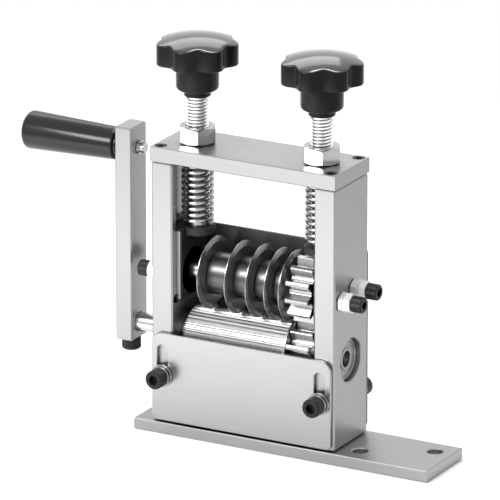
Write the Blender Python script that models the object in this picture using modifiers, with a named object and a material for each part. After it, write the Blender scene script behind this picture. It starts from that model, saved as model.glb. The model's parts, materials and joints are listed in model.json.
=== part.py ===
"""Hand crank wire stripper.

Two side plates stand on a base bar and are closed by a top plate. A serrated feed roller runs
in ball bearings between them and is turned by the crank on the left. Above it a row of round
blades runs on a keyed shaft, in two bearing blocks that slide in pockets of the side plates.
Two pressure screws with star knobs set how high the blocks stand, and coil springs round the
screws keep them down. A pair of gears drives the blade shaft from the feed roller's shaft.

Frame: +X to the right, +Y to the back, +Z up, in metres. The origin is on the underside of
the base bar, midway between the side plates and on the centre line of its depth.
"""

import math

import bmesh
import bpy
from mathutils import Matrix, Vector

MM = 0.001

# Air left between pieces that touch, how far cutters run past a face, and the small
# chamfer on every machined plate and on every turned piece.
GAP = 0.3 * MM
OVERRUN = 2 * MM
PLATE_EDGE = 0.6 * MM
TURNED_EDGE = 0.4 * MM

# Sides of a full circle on large, middling and small round pieces.
LARGE_ROUND = 28
ROUND = 20
SMALL_ROUND = 12
NUT_CHAMFER_SIDES = 12

# Edges sharper than the first angle are chamfered, and those sharper than the second keep
# their corner where the shading is smooth. Points closer than these are welded together.
CHAMFERED_ANGLE = math.radians(40)
CORNER_ANGLE = math.radians(35)
TURNED_WELD = 0.01 * MM
CAP_WELD = 0.001 * MM

# Base bar and its two holes for screwing it to a bench.
BASE_DEPTH = 40 * MM
BASE_THICKNESS = 6 * MM
BASE_LEFT_REACH = 10 * MM
BASE_RIGHT_REACH = 54 * MM
BENCH_HOLE_RADIUS = 4 * MM
BENCH_HOLE_END_INSET = 10 * MM
BENCH_HOLE_PITCH = 34 * MM
BENCH_HOLE_OFFSET = 8.7 * MM

# Side plates.
FRAME_SPAN = 106 * MM
PLATE_THICKNESS = 12 * MM
PLATE_DEPTH = 36 * MM
PLATE_HEIGHT = 139 * MM
POCKET_DEPTH = 5.5 * MM
POCKET_WALL = 4.1 * MM
POCKET_RELIEF_RADIUS = 2.5 * MM
BEARING_RECESS = 1.5 * MM
BEARING_SHOULDER = 2 * MM

# Top plate, which overhangs the side plates a little.
TOP_THICKNESS = 8 * MM
TOP_OVERHANG = 0.5 * MM

# The two shafts.
DRIVE_AXIS_HEIGHT = 44.3 * MM
GEAR_CLEARANCE = 1 * MM
SHAFT_RADIUS = 6 * MM
DRIVE_LEFT_RADIUS = 5 * MM
DRIVE_RIGHT_RADIUS = 4 * MM
DRIVE_END_RECESS = 3 * MM
KEY_WIDTH = 3 * MM
KEY_PROUD = 1 * MM

# Ball bearings, outer radius and width.
DRIVE_BEARING_RADIUS = 11 * MM
DRIVE_BEARING_WIDTH = 6.5 * MM
BLADE_BEARING_RADIUS = 12 * MM
BLADE_BEARING_WIDTH = 6 * MM
BEARING_RING = 2 * MM
BEARING_SEAL_DEPTH = 0.5 * MM

# Sliding bearing blocks, each with a lip on which its spring and screw stand.
BLOCK_HEIGHT = 38 * MM
BLOCK_FOOT = 13.1 * MM
BLOCK_PROUD = 2.8 * MM
LIP_THICKNESS = 4 * MM
LIP_MARGIN = 0.5 * MM

# Blades and spacers. The blades stand at shares of the way from the left block to the last.
BLADE_PROUD = 1 * MM
BLADE_THICKNESS = 2 * MM
BLADE_BEVEL = 2.6 * MM
BLADE_EDGE = 0.4 * MM
BLADE_PLACE_SHARES = (0.206, 0.473, 0.679, 0.86, 1)
SPACER_RADIUS = 14.2 * MM
RETAINING_RING_WIDTH = 1.2 * MM
RETAINING_RING_WALL = 2.6 * MM
RING_GROOVE_DEPTH = 0.8 * MM

# Gears, cut deep so that they stay in mesh while the blades lift a little.
GEAR_TEETH = 12
GEAR_ADDENDUM = 0.7 * MM
GEAR_TOOTH_DEPTH = 5.1 * MM
TOOTH_TIP_WIDTH = 2.4 * MM
TOOTH_ROOT_WIDTH = 4.2 * MM
GEAR_BOSS_LENGTH = 1.5 * MM
GEAR_BOSS_RADIUS = 9 * MM
GEAR_WIDTH = 13.2 * MM
GEAR_SIDE_GAP = 1.2 * MM
SIDE_DISC_THICKNESS = 1 * MM

# Feed roller.
NIP_GAP = 0.4 * MM
ROLLER_SIDE_GAP = 4 * MM
ROLLER_SERRATIONS = 40
SERRATION_DEPTH = 0.7 * MM
HUB_RADIUS = 8.7 * MM

# Pressure screws, their nuts on the top plate and their star knobs. The screws' axes lie
# inboard of the blocks' inner faces.
SCREW_INBOARD = 2.35 * MM
SCREW_RADIUS = 5.9 * MM
SPINDLE_RADIUS = 5 * MM
PIN_RADIUS = 3 * MM
RIVET_RADIUS = 4.6 * MM
RIVET_THICKNESS = 1.2 * MM
RIVET_MARGIN = 0.6 * MM
RIVET_ROOM = 3.2 * MM
SCREW_EXPOSED = 15.9 * MM
SCREW_IN_KNOB = 11.6 * MM
PRESSURE_NUT_FLATS = 18 * MM
PRESSURE_NUT_HEIGHT = 8.6 * MM
KNOB_LOBES = 7
KNOB_LOBE_RADIUS = 21 * MM
KNOB_POINTS = KNOB_LOBES * 6
KNOB_VALLEY_DEPTH = 3.9 * MM
VALLEY_SHARPNESS = 1.4
KNOB_HEAD_HEIGHT = 10.4 * MM
KNOB_DOME_HEIGHT = 5.4 * MM
DOME_SHARES = (0.7, 0.36)
KNOB_HUB_RADIUS = 10.8 * MM
KNOB_HUB_LENGTH = 13.1 * MM
KNOB_HUB_ROUNDING = 2.2 * MM
KNOB_NECK_WALL = 0.8 * MM
KNOB_NECK_LENGTH = 3.1 * MM
KNOB_EDGE = 0.6 * MM

# Coil springs round the screws.
SPRING_OUTER_RADIUS = 8.5 * MM
SPRING_WIRE_RADIUS = 1.1 * MM
SPRING_TURNS = 10.5
SPRING_CLOSED_TURNS = 1
SPRING_END_GAP = 0.5 * MM
SPRING_POINTS_PER_TURN = 8

# Front guide plate, which can be set up or down on its two screws.
GUIDE_SIDE_MARGIN = 1 * MM
GUIDE_THICKNESS = 2 * MM
GUIDE_FOOT_GAP = 1.5 * MM
GUIDE_HEIGHT = 47.3 * MM
GUIDE_TOP_CORNER = 6 * MM
GUIDE_FOOT_CORNER = 3 * MM
GUIDE_SCREW_INSET = 7.4 * MM
GUIDE_SCREW_HEIGHT = 32 * MM
GUIDE_SLOT_RISE = 13.4 * MM
GUIDE_SLOT_DROP = 2.1 * MM

# Rear guide plate, held off the side plates by two rings. It has one hole behind each blade,
# with radii in shares of the row of blades.
REAR_SIDE_MARGIN = 2.5 * MM
REAR_THICKNESS = 1.5 * MM
REAR_STANDOFF = 1.8 * MM
STANDOFF_RADIUS = 6 * MM
REAR_TOP_HEIGHT = 104.2 * MM
REAR_CORNER = 3 * MM
REAR_SCREW_HEIGHT = 27 * MM
WIRE_HOLE_SHARES = (0.101, 0.0845, 0.076, 0.0635, 0.056)

# Socket head screws that hold the guide plates, with their washers.
GUIDE_SCREW_RADIUS = 3 * MM
GUIDE_SCREW_HEAD_RADIUS = 5 * MM
GUIDE_SCREW_HEAD_HEIGHT = 6 * MM
GUIDE_SCREW_DEPTH = 10 * MM
FLAT_WASHER_RADIUS = 6 * MM
FLAT_WASHER_THICKNESS = 1.2 * MM
SPRING_WASHER_RADIUS = 5.2 * MM
SPRING_WASHER_THICKNESS = 1.6 * MM

# Countersunk screws that join the side plates to the top plate.
TOP_SCREW_INSET = 4 * MM
TOP_SCREW_EDGE = 3.2 * MM
TOP_SCREW_RADIUS = 1.5 * MM
TOP_SCREW_HEAD_RADIUS = 3 * MM
TOP_SCREW_DEPTH = 9 * MM
COUNTERSUNK_SINK = 0.2 * MM

# Side adjusting screws, which take up the play of the blocks, with their lock nuts.
ADJUSTER_RADIUS = 2.5 * MM
ADJUSTER_HEAD_RADIUS = 4.2 * MM
ADJUSTER_HEAD_HEIGHT = 6 * MM
ADJUSTER_INSET = 7.2 * MM
FRONT_ADJUSTER_RISE = 0.4 * MM
RIGHT_REAR_ADJUSTER_Y = 2.2 * MM
RIGHT_REAR_ADJUSTER_RISE = 3.7 * MM
LOCK_NUT_FLATS = 9.4 * MM
LOCK_NUT_HEIGHT = 4 * MM
THIN_NUT_HEIGHT = 2.2 * MM

# Crank arm and its clamp screw.
ARM_STANDOFF = 17.3 * MM
ARM_THICKNESS = 10 * MM
ARM_WIDTH = 16 * MM
CRANK_RADIUS = 95 * MM
ARM_FOOT = 8.3 * MM
ARM_HEAD = 11.7 * MM
ARM_EDGE = 0.8 * MM
CLAMP_SCREW_RADIUS = 3 * MM
CLAMP_SCREW_HEAD_RADIUS = 5 * MM
CLAMP_SCREW_HEAD_HEIGHT = 6 * MM

# Turning handle on its axle.
GRIP_LENGTH = 53.2 * MM
GRIP_OUTER_RADIUS = 10 * MM
GRIP_INNER_RADIUS = 8.5 * MM
GRIP_ROUNDING = 2.6 * MM
GRIP_RECESS_DEPTH = 5 * MM
GRIP_RECESS_MARGIN = 1.2 * MM
AXLE_RADIUS = 4 * MM
AXLE_HEAD_RADIUS = 6 * MM
AXLE_HEAD_HEIGHT = 4 * MM
AXLE_STUD_RADIUS = 3 * MM
AXLE_STUD_REACH = 4 * MM
HANDLE_WASHER_RADIUS = 7 * MM
HANDLE_WASHER_THICKNESS = 1.3 * MM

# Hexagon sockets in screw heads, as shares of the head they are cut in.
SOCKET_RADIUS_SHARE = 0.58
SOCKET_DEPTH_SHARE = 0.5

# How wide a nut's flat face is, as a share of its width over the flats.
NUT_FACE_SHARE = 0.96

# The slope of the cone that rounds a nut's corners off, how the knobs stand, and the steps
# in which a knob's hub and the grip's end are rounded.
NUT_CONE_ANGLE = math.radians(30)
KNOB_STAND_ANGLE = math.radians(-60)
HUB_ROUNDING_STEPS = 2
GRIP_ROUNDING_STEPS = 4

# Finishes: colour, roughness and metallic value.
BRUSHED = ((0.62, 0.62, 0.63), 0.38, 1.0)
POLISHED = ((0.86, 0.86, 0.87), 0.12, 1.0)
STAINLESS = ((0.66, 0.66, 0.67), 0.3, 1.0)
GUNMETAL = ((0.11, 0.11, 0.115), 0.3, 1.0)
BLACK_OXIDE = ((0.015, 0.015, 0.017), 0.4, 0.4)
BLACK_PLASTIC = ((0.012, 0.012, 0.013), 0.3, 0.0)

# Places that follow from the sizes above.
PLATE_OUTER_X = FRAME_SPAN / 2
PLATE_INNER_X = PLATE_OUTER_X - PLATE_THICKNESS
PLATE_BOTTOM_Z = BASE_THICKNESS + GAP
PLATE_TOP_Z = PLATE_BOTTOM_Z + PLATE_HEIGHT
TOP_BOTTOM_Z = PLATE_TOP_Z + GAP
TOP_TOP_Z = TOP_BOTTOM_Z + TOP_THICKNESS
BASE_LEFT_X = -PLATE_OUTER_X - BASE_LEFT_REACH
BASE_RIGHT_X = PLATE_OUTER_X + BASE_RIGHT_REACH

DRIVE_Z = PLATE_BOTTOM_Z + DRIVE_AXIS_HEIGHT
SHAFT_CENTRES = PLATE_DEPTH - 2 * GEAR_CLEARANCE
BLADE_RADIUS = PLATE_DEPTH / 2 + BLADE_PROUD
BLADE_Z = DRIVE_Z + SHAFT_CENTRES
SHAFT_BORE = SHAFT_RADIUS + GAP

BLOCK_FOOT_Z = BLADE_Z - BLOCK_FOOT
BLOCK_HEAD_Z = BLOCK_FOOT_Z + BLOCK_HEIGHT
POCKET_HALF = PLATE_DEPTH / 2 - POCKET_WALL
BLOCK_HALF = POCKET_HALF - GAP
BLOCK_INNER_X = PLATE_INNER_X - BLOCK_PROUD
BLOCK_OUTER_X = PLATE_INNER_X + POCKET_DEPTH - GAP
BLADE_BEARING_INNER_X = BLOCK_INNER_X + GAP
BLADE_BEARING_OUTER_X = BLADE_BEARING_INNER_X + BLADE_BEARING_WIDTH

GEAR_RIGHT_X = BLOCK_INNER_X - GEAR_SIDE_GAP
GEAR_LEFT_X = GEAR_RIGHT_X - GEAR_WIDTH
LAST_BLADE_X = GEAR_LEFT_X - GEAR_BOSS_LENGTH - GAP - BLADE_THICKNESS / 2
BLADE_ROW = LAST_BLADE_X + BLOCK_INNER_X
BLADE_X = [BLADE_ROW * share - BLOCK_INNER_X for share in BLADE_PLACE_SHARES]
WIRE_HOLE_RADII = [BLADE_ROW * share for share in WIRE_HOLE_SHARES]
GEAR_TIP_RADIUS = SHAFT_CENTRES / 2 + GEAR_ADDENDUM
GEAR_ROOT_RADIUS = GEAR_TIP_RADIUS - GEAR_TOOTH_DEPTH
ROLLER_RADIUS = SHAFT_CENTRES - BLADE_RADIUS - NIP_GAP
ROLLER_LEFT_X = -PLATE_INNER_X + ROLLER_SIDE_GAP
DISC_RIGHT_X = GEAR_LEFT_X - GAP
DISC_LEFT_X = DISC_RIGHT_X - SIDE_DISC_THICKNESS
ROLLER_RIGHT_X = DISC_LEFT_X - GAP

DRIVE_BEARING_OUTER_X = PLATE_OUTER_X - BEARING_RECESS
DRIVE_BEARING_INNER_X = DRIVE_BEARING_OUTER_X - DRIVE_BEARING_WIDTH

ARM_INNER_X = -PLATE_OUTER_X - ARM_STANDOFF
ARM_OUTER_X = ARM_INNER_X - ARM_THICKNESS
ARM_MIDDLE_X = (ARM_INNER_X + ARM_OUTER_X) / 2
ARM_FOOT_Z = DRIVE_Z - ARM_FOOT
HANDLE_Z = DRIVE_Z + CRANK_RADIUS
ARM_HEAD_Z = HANDLE_Z + ARM_HEAD
WASHER_OUTER_X = ARM_OUTER_X - GAP - HANDLE_WASHER_THICKNESS
GRIP_INNER_X = WASHER_OUTER_X - GAP
GRIP_OUTER_X = GRIP_INNER_X - GRIP_LENGTH

NUT_TOP_Z = TOP_TOP_Z + GAP + PRESSURE_NUT_HEIGHT
SCREW_PLACE = BLOCK_INNER_X - SCREW_INBOARD
KNOB_FOOT_Z = NUT_TOP_Z + SCREW_EXPOSED
SCREW_TOP_Z = KNOB_FOOT_Z + SCREW_IN_KNOB
HUB_FOOT_Z = KNOB_FOOT_Z + KNOB_NECK_LENGTH
HEAD_FOOT_Z = HUB_FOOT_Z + KNOB_HUB_LENGTH
HEAD_EDGE_Z = HEAD_FOOT_Z + KNOB_HEAD_HEIGHT
LIP_RADIUS = SPRING_OUTER_RADIUS + LIP_MARGIN
LIP_FOOT_Z = BLOCK_HEAD_Z - LIP_THICKNESS

GUIDE_FRONT_Y = -PLATE_DEPTH / 2 - GAP - GUIDE_THICKNESS
GUIDE_FOOT_Z = BASE_THICKNESS + GUIDE_FOOT_GAP
GUIDE_SCREW_PLACE = PLATE_OUTER_X - GUIDE_SCREW_INSET
REAR_FRONT_Y = PLATE_DEPTH / 2 + REAR_STANDOFF
REAR_BACK_Y = REAR_FRONT_Y + REAR_THICKNESS
TOP_SCREW_X = PLATE_OUTER_X - TOP_SCREW_INSET

# Turns that take a shape's own +Z to the world's +X, with its own XY plane lying as the
# world's YZ plane, and one that stands an XY outline up in the world's XZ plane.
ALONG_X = Matrix(((0, 0, 1, 0), (1, 0, 0, 0), (0, 1, 0, 0), (0, 0, 0, 1)))
STANDING = Matrix.Rotation(math.radians(90), 4, "X")


def collection_named(name):
    found = bpy.data.collections.new(name)
    bpy.context.scene.collection.children.link(found)
    return found


def give_finish(obj, finish):
    """Its own Principled material, named after the piece."""
    colour, roughness, metallic = finish
    material = bpy.data.materials.new(obj.name)
    material.use_nodes = True
    shader = material.node_tree.nodes["Principled BSDF"]
    shader.inputs["Base Color"].default_value = (*colour, 1.0)
    shader.inputs["Roughness"].default_value = roughness
    shader.inputs["Metallic"].default_value = metallic
    material.diffuse_color = (*colour, 1.0)
    obj.data.materials.clear()
    obj.data.materials.append(material)


def add_piece(name, mesh, finish, place=None):
    obj = bpy.data.objects.new(name, mesh)
    PIECES.objects.link(obj)
    obj.matrix_world = place or Matrix.Identity(4)
    give_finish(obj, finish)
    return obj


def hide_cutter(obj, owner):
    """Set a cutter aside, riding with the piece that it cuts."""
    CUTTERS.objects.link(obj)
    obj.display_type = "WIRE"
    obj.hide_render = True
    obj.parent = owner


def direction_matrix(origin, direction):
    """A place whose own +Z points along the direction."""
    turn = Vector(direction).to_track_quat("Z", "Y").to_matrix().to_4x4()
    return Matrix.Translation(Vector(origin)) @ turn


def box_mesh(name, low, high):
    """A box between two corners."""
    low = Vector(low)
    high = Vector(high)
    size = high - low
    bm = bmesh.new()
    bmesh.ops.create_cube(bm, size=1.0)
    bmesh.ops.scale(bm, vec=size, verts=bm.verts)
    bmesh.ops.translate(bm, vec=(low + high) / 2, verts=bm.verts)
    mesh = bpy.data.meshes.new(name)
    bm.to_mesh(mesh)
    bm.free()
    return mesh


def bevel(obj, width):
    """A one-step chamfer on the sharp edges."""
    modifier = obj.modifiers.new("edge", "BEVEL")
    modifier.width = width
    modifier.segments = 1
    modifier.limit_method = "ANGLE"
    modifier.angle_limit = CHAMFERED_ANGLE
    modifier.use_clamp_overlap = True


def plate(name, low, high, edge, finish):
    obj = add_piece(name, box_mesh(name, low, high), finish)
    bevel(obj, edge)
    return obj


def subtract(obj, cutter):
    modifier = obj.modifiers.new("cut " + cutter.name, "BOOLEAN")
    modifier.operation = "DIFFERENCE"
    modifier.solver = "EXACT"
    modifier.object = cutter


def drill(obj, label, holes, sides=ROUND):
    """Cut round holes, each a start point in the piece's own space, a direction, a radius, a
    radius at its far end and a depth. The cutters of one call don't meet each other."""
    bm = bmesh.new()
    for start, direction, near_radius, far_radius, depth in holes:
        made = bmesh.ops.create_cone(
            bm,
            cap_ends=True,
            segments=sides,
            radius1=near_radius,
            radius2=far_radius,
            depth=depth,
        )
        lift = Matrix.Translation((0, 0, depth / 2))
        place = direction_matrix(start, direction) @ lift
        bmesh.ops.transform(bm, matrix=place, verts=made["verts"])
    mesh = bpy.data.meshes.new(label)
    bm.to_mesh(mesh)
    bm.free()
    cutter = bpy.data.objects.new(label, mesh)
    hide_cutter(cutter, obj)
    subtract(obj, cutter)


def cut_box(obj, label, low, high):
    cutter = bpy.data.objects.new(label, box_mesh(label, low, high))
    hide_cutter(cutter, obj)
    subtract(obj, cutter)


def shape_with(obj, other, operation):
    """Join another piece to this one, or keep only what lies in both."""
    PIECES.objects.unlink(other)
    place = obj.matrix_world.inverted() @ other.matrix_world
    hide_cutter(other, obj)
    other.matrix_local = place
    modifier = obj.modifiers.new(operation.lower(), "BOOLEAN")
    modifier.operation = operation
    modifier.solver = "EXACT"
    modifier.object = other


def evaluated_mesh(obj):
    """The mesh that the piece's modifiers make, in its own space."""
    bpy.context.view_layer.update()
    graph = bpy.context.evaluated_depsgraph_get()
    return bpy.data.meshes.new_from_object(obj.evaluated_get(graph))


def turned(name, profile, finish, place, ring=False, sides=ROUND):
    """A turned piece. The profile is pairs of radius and height along the axis, down the
    outer side from top to bottom; a ring's profile goes back up its bore and closes."""
    mesh = bpy.data.meshes.new(name)
    count = len(profile)
    points = [(radius, 0, height) for radius, height in profile]
    edges = [(index, index + 1) for index in range(count - 1)]
    if ring:
        edges.append((count - 1, 0))
    mesh.from_pydata(points, edges, [])
    obj = add_piece(name, mesh, finish, place)
    screw = obj.modifiers.new("turn", "SCREW")
    screw.angle = math.tau
    screw.steps = sides
    screw.render_steps = sides
    screw.use_merge_vertices = True
    screw.merge_threshold = TURNED_WELD
    screw.use_smooth_shade = False
    return obj


def ring_profile(bore, radius, low, high, edge=0):
    """A ring, with chamfered outer corners where an edge is given."""
    if not edge:
        return [(bore, high), (radius, high), (radius, low), (bore, low)]
    return [
        (bore, high),
        (radius - edge, high),
        (radius, high - edge),
        (radius, low + edge),
        (radius - edge, low),
        (bore, low),
    ]


def stepped_profile(steps, edge=TURNED_EDGE):
    """A solid shaft from steps of radius, low end and high end, listed from the top down,
    with chamfered ends."""
    first_radius, _, top = steps[0]
    profile = [(0, top), (first_radius - edge, top), (first_radius, top - edge)]
    last_radius = first_radius
    for radius, low, high in steps:
        if radius != last_radius:
            profile.append((radius, high))
        profile.append((radius, low))
        last_radius = radius
    bottom = steps[-1][1]
    profile[-1] = (last_radius, bottom + edge)
    profile.append((last_radius - edge, bottom))
    profile.append((0, bottom))
    return profile


def curve_mesh(name, curve):
    """The closed mesh of a curve, its caps welded to its sides."""
    holder = bpy.data.objects.new(name, curve)
    PIECES.objects.link(holder)
    mesh = evaluated_mesh(holder)
    bpy.data.objects.remove(holder)
    bm = bmesh.new()
    bm.from_mesh(mesh)
    bmesh.ops.remove_doubles(bm, verts=bm.verts, dist=CAP_WELD)
    bm.to_mesh(mesh)
    bm.free()
    return mesh


def flat_piece(name, outlines, low, high, finish, place):
    """A piece cut from flat stock: closed outlines, the first its rim and the others its
    holes, between two heights."""
    curve = bpy.data.curves.new(name, "CURVE")
    curve.dimensions = "2D"
    curve.fill_mode = "BOTH"
    curve.extrude = (high - low) / 2
    for outline in outlines:
        spline = curve.splines.new("POLY")
        spline.points.add(len(outline) - 1)
        for point, (x, y) in zip(spline.points, outline):
            point.co = (x, y, 0, 1)
        spline.use_cyclic_u = True
    lift = Matrix.Translation((0, 0, (low + high) / 2))
    return add_piece(name, curve_mesh(name, curve), finish, place @ lift)


def circle(radius, sides=ROUND, centre=(0, 0)):
    angles = [math.tau * index / sides for index in range(sides)]
    return [(centre[0] + radius * math.cos(a), centre[1] + radius * math.sin(a)) for a in angles]


def keyed_bore():
    """The bore of a piece on a keyed shaft: a circle with a notch at the top for the key."""
    half = KEY_WIDTH / 2 + GAP
    top = SHAFT_RADIUS + KEY_PROUD + GAP
    notch_angle = math.asin(half / SHAFT_BORE)
    start = math.pi / 2 + notch_angle
    sweep = math.tau - 2 * notch_angle
    steps = ROUND - 2
    outline = [(half, top), (-half, top)]
    for index in range(steps + 1):
        angle = start + sweep * index / steps
        outline.append((SHAFT_BORE * math.cos(angle), SHAFT_BORE * math.sin(angle)))
    return outline


def rounded_corner(centre, radius, start_degrees, sides=4):
    """Points along a quarter circle, turning left."""
    points = []
    for index in range(sides + 1):
        angle = math.radians(start_degrees) + math.pi / 2 * index / sides
        points.append((centre[0] + radius * math.cos(angle), centre[1] + radius * math.sin(angle)))
    return points


def rounded_rectangle(half_width, low, high, foot_radius, top_radius):
    """An upright outline about the middle, with its own corner radius at foot and top."""
    outline = []
    right_foot = (half_width - foot_radius, low + foot_radius)
    right_top = (half_width - top_radius, high - top_radius)
    outline += rounded_corner(right_foot, foot_radius, -90)
    outline += rounded_corner(right_top, top_radius, 0)
    outline += rounded_corner((-right_top[0], right_top[1]), top_radius, 90)
    outline += rounded_corner((-right_foot[0], right_foot[1]), foot_radius, 180)
    return outline


def upright_slot(x, low_centre, high_centre, radius):
    """A slot with round ends."""
    outline = []
    for centre, start in ((high_centre, 0), (low_centre, 180)):
        outline += rounded_corner((x, centre), radius, start)[:-1]
        outline += rounded_corner((x, centre), radius, start + 90)
    return outline


def hexagon(across_flats):
    """A hexagon with a corner on +X."""
    corner = across_flats / math.sqrt(3)
    return circle(corner, 6)


def joint_empty(name, location):
    empty = bpy.data.objects.new(name, None)
    PIECES.objects.link(empty)
    empty.location = location
    empty.empty_display_size = PLATE_THICKNESS
    bpy.context.view_layer.update()
    return empty


def carry(empty, pieces):
    """Parent the pieces to a joint's empty where they stand."""
    bpy.context.view_layer.update()
    for piece in pieces:
        place = piece.matrix_world.copy()
        piece.parent = empty
        piece.matrix_parent_inverse = empty.matrix_world.inverted()
        piece.matrix_world = place


def socket(obj, head_top, head_radius, head_height):
    """A hexagon socket in the top of a screw head."""
    depth = head_height * SOCKET_DEPTH_SHARE
    radius = head_radius * SOCKET_RADIUS_SHARE
    start = (0, 0, head_top - depth)
    label = obj.name + " socket"
    drill(obj, label, [(start, (0, 0, 1), radius, radius, depth + OVERRUN)], sides=6)


def cap_screw(name, place, head_radius, head_height, radius, length, washers=()):
    """A socket head screw pointing down, its head standing on height zero. The washers under
    its head, each a radius and a thickness, are one piece with it."""
    edge = TURNED_EDGE
    profile = [
        (0, head_height),
        (head_radius - edge, head_height),
        (head_radius, head_height - edge),
        (head_radius, 0),
    ]
    low = 0
    for washer_radius, thickness in washers:
        neck = head_radius - edge
        profile += [(neck, low), (neck, low - GAP), (washer_radius, low - GAP)]
        low -= GAP + thickness
        profile.append((washer_radius, low))
    profile += [(radius, low), (radius, edge - length), (radius - edge, -length), (0, -length)]
    obj = turned(name, profile, BLACK_OXIDE, place, sides=SMALL_ROUND)
    socket(obj, head_height, head_radius, head_height)
    return obj


def countersunk_screw(name, place, head_radius, radius, length):
    """A countersunk screw pointing down, the flat top of its head at height zero."""
    edge = TURNED_EDGE
    cone = head_radius - radius
    profile = [
        (0, 0),
        (head_radius, 0),
        (head_radius, -edge),
        (radius, -edge - cone),
        (radius, edge - length),
        (radius - edge, -length),
        (0, -length),
    ]
    obj = turned(name, profile, BLACK_OXIDE, place, sides=SMALL_ROUND)
    socket(obj, 0, head_radius, cone)
    return obj


def hexagon_nut(name, place, across_flats, bore, height, chamfered=False):
    """A nut standing on height zero; a large one has its corners chamfered at both ends."""
    outlines = [hexagon(across_flats), circle(bore, SMALL_ROUND)]
    obj = flat_piece(name, outlines, 0, height, POLISHED, place)
    if not chamfered:
        return obj
    corner = across_flats / math.sqrt(3)
    face = across_flats / 2 * NUT_FACE_SHARE
    reach = corner - face + GAP
    half = height / 2
    slope = math.tan(NUT_CONE_ANGLE)
    profile = [
        (0, half),
        (face, half),
        (corner + GAP, half - reach * slope),
        (corner + GAP, reach * slope - half),
        (face, -half),
        (0, -half),
    ]
    form = turned(name + " form", profile, POLISHED, obj.matrix_world, sides=NUT_CHAMFER_SIDES)
    shape_with(obj, form, "INTERSECT")
    return obj


def make_base():
    half = BASE_DEPTH / 2
    low = (BASE_LEFT_X, -half, 0)
    high = (BASE_RIGHT_X, half, BASE_THICKNESS)
    base = plate("base_plate", low, high, PLATE_EDGE, BRUSHED)
    outer_x = BASE_RIGHT_X - BENCH_HOLE_END_INSET
    through = BASE_THICKNESS + 2 * OVERRUN
    radius = BENCH_HOLE_RADIUS
    holes = [
        ((outer_x, BENCH_HOLE_OFFSET, -OVERRUN), (0, 0, 1), radius, radius, through),
        ((outer_x - BENCH_HOLE_PITCH, -BENCH_HOLE_OFFSET, -OVERRUN), (0, 0, 1), radius, radius, through),
    ]
    drill(base, "bench holes", holes)
    return base


def top_screw_places():
    y_half = PLATE_DEPTH / 2 - TOP_SCREW_EDGE
    return [(x, y) for x in (-TOP_SCREW_X, TOP_SCREW_X) for y in (-y_half, y_half)]


def make_top_plate():
    half_x = PLATE_OUTER_X + TOP_OVERHANG
    half_y = PLATE_DEPTH / 2 + TOP_OVERHANG
    low = (-half_x, -half_y, TOP_BOTTOM_Z)
    high = (half_x, half_y, TOP_TOP_Z)
    top = plate("top_plate", low, high, PLATE_EDGE, BRUSHED)
    through = TOP_THICKNESS + 2 * OVERRUN
    start_z = TOP_BOTTOM_Z - OVERRUN
    screw_hole = SCREW_RADIUS + GAP
    holes = []
    for x in (-SCREW_PLACE, SCREW_PLACE):
        holes.append(((x, 0, start_z), (0, 0, 1), screw_hole, screw_hole, through))
    drill(top, "pressure screw holes", holes)
    cone = TOP_SCREW_HEAD_RADIUS - TOP_SCREW_RADIUS
    narrow = TOP_SCREW_RADIUS + GAP
    wide = TOP_SCREW_HEAD_RADIUS + GAP + OVERRUN
    straight = COUNTERSUNK_SINK + TURNED_EDGE
    head_start = TOP_TOP_Z - straight + OVERRUN
    heads = []
    shanks = []
    for x, y in top_screw_places():
        heads.append(((x, y, head_start), (0, 0, -1), wide, narrow, cone + GAP + OVERRUN))
        shanks.append(((x, y, start_z), (0, 0, 1), narrow, narrow, through - OVERRUN - straight - cone / 2))
    drill(top, "top screw heads", heads, SMALL_ROUND)
    drill(top, "top screw shanks", shanks, SMALL_ROUND)
    return top


def make_top_screws():
    length = TOP_THICKNESS + TOP_SCREW_DEPTH - COUNTERSUNK_SINK
    top = TOP_TOP_Z - COUNTERSUNK_SINK
    for index, (x, y) in enumerate(top_screw_places()):
        name = f"top_plate_screw_{index + 1}"
        place = Matrix.Translation((x, y, top))
        countersunk_screw(name, place, TOP_SCREW_HEAD_RADIUS, TOP_SCREW_RADIUS, length)


def adjuster_places(side):
    """Where the adjusting screws of one side plate stand: Y, Z and the nuts on each."""
    reach = PLATE_DEPTH / 2 - ADJUSTER_INSET
    front = (-reach, BLADE_Z + FRONT_ADJUSTER_RISE)
    if side > 0:
        rear = (RIGHT_REAR_ADJUSTER_Y, BLADE_Z + RIGHT_REAR_ADJUSTER_RISE)
        return [(front, (THIN_NUT_HEIGHT, LOCK_NUT_HEIGHT)), (rear, (LOCK_NUT_HEIGHT, LOCK_NUT_HEIGHT))]
    rear = (reach, BLADE_Z + FRONT_ADJUSTER_RISE)
    return [(front, (LOCK_NUT_HEIGHT,)), (rear, (LOCK_NUT_HEIGHT,))]


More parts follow.
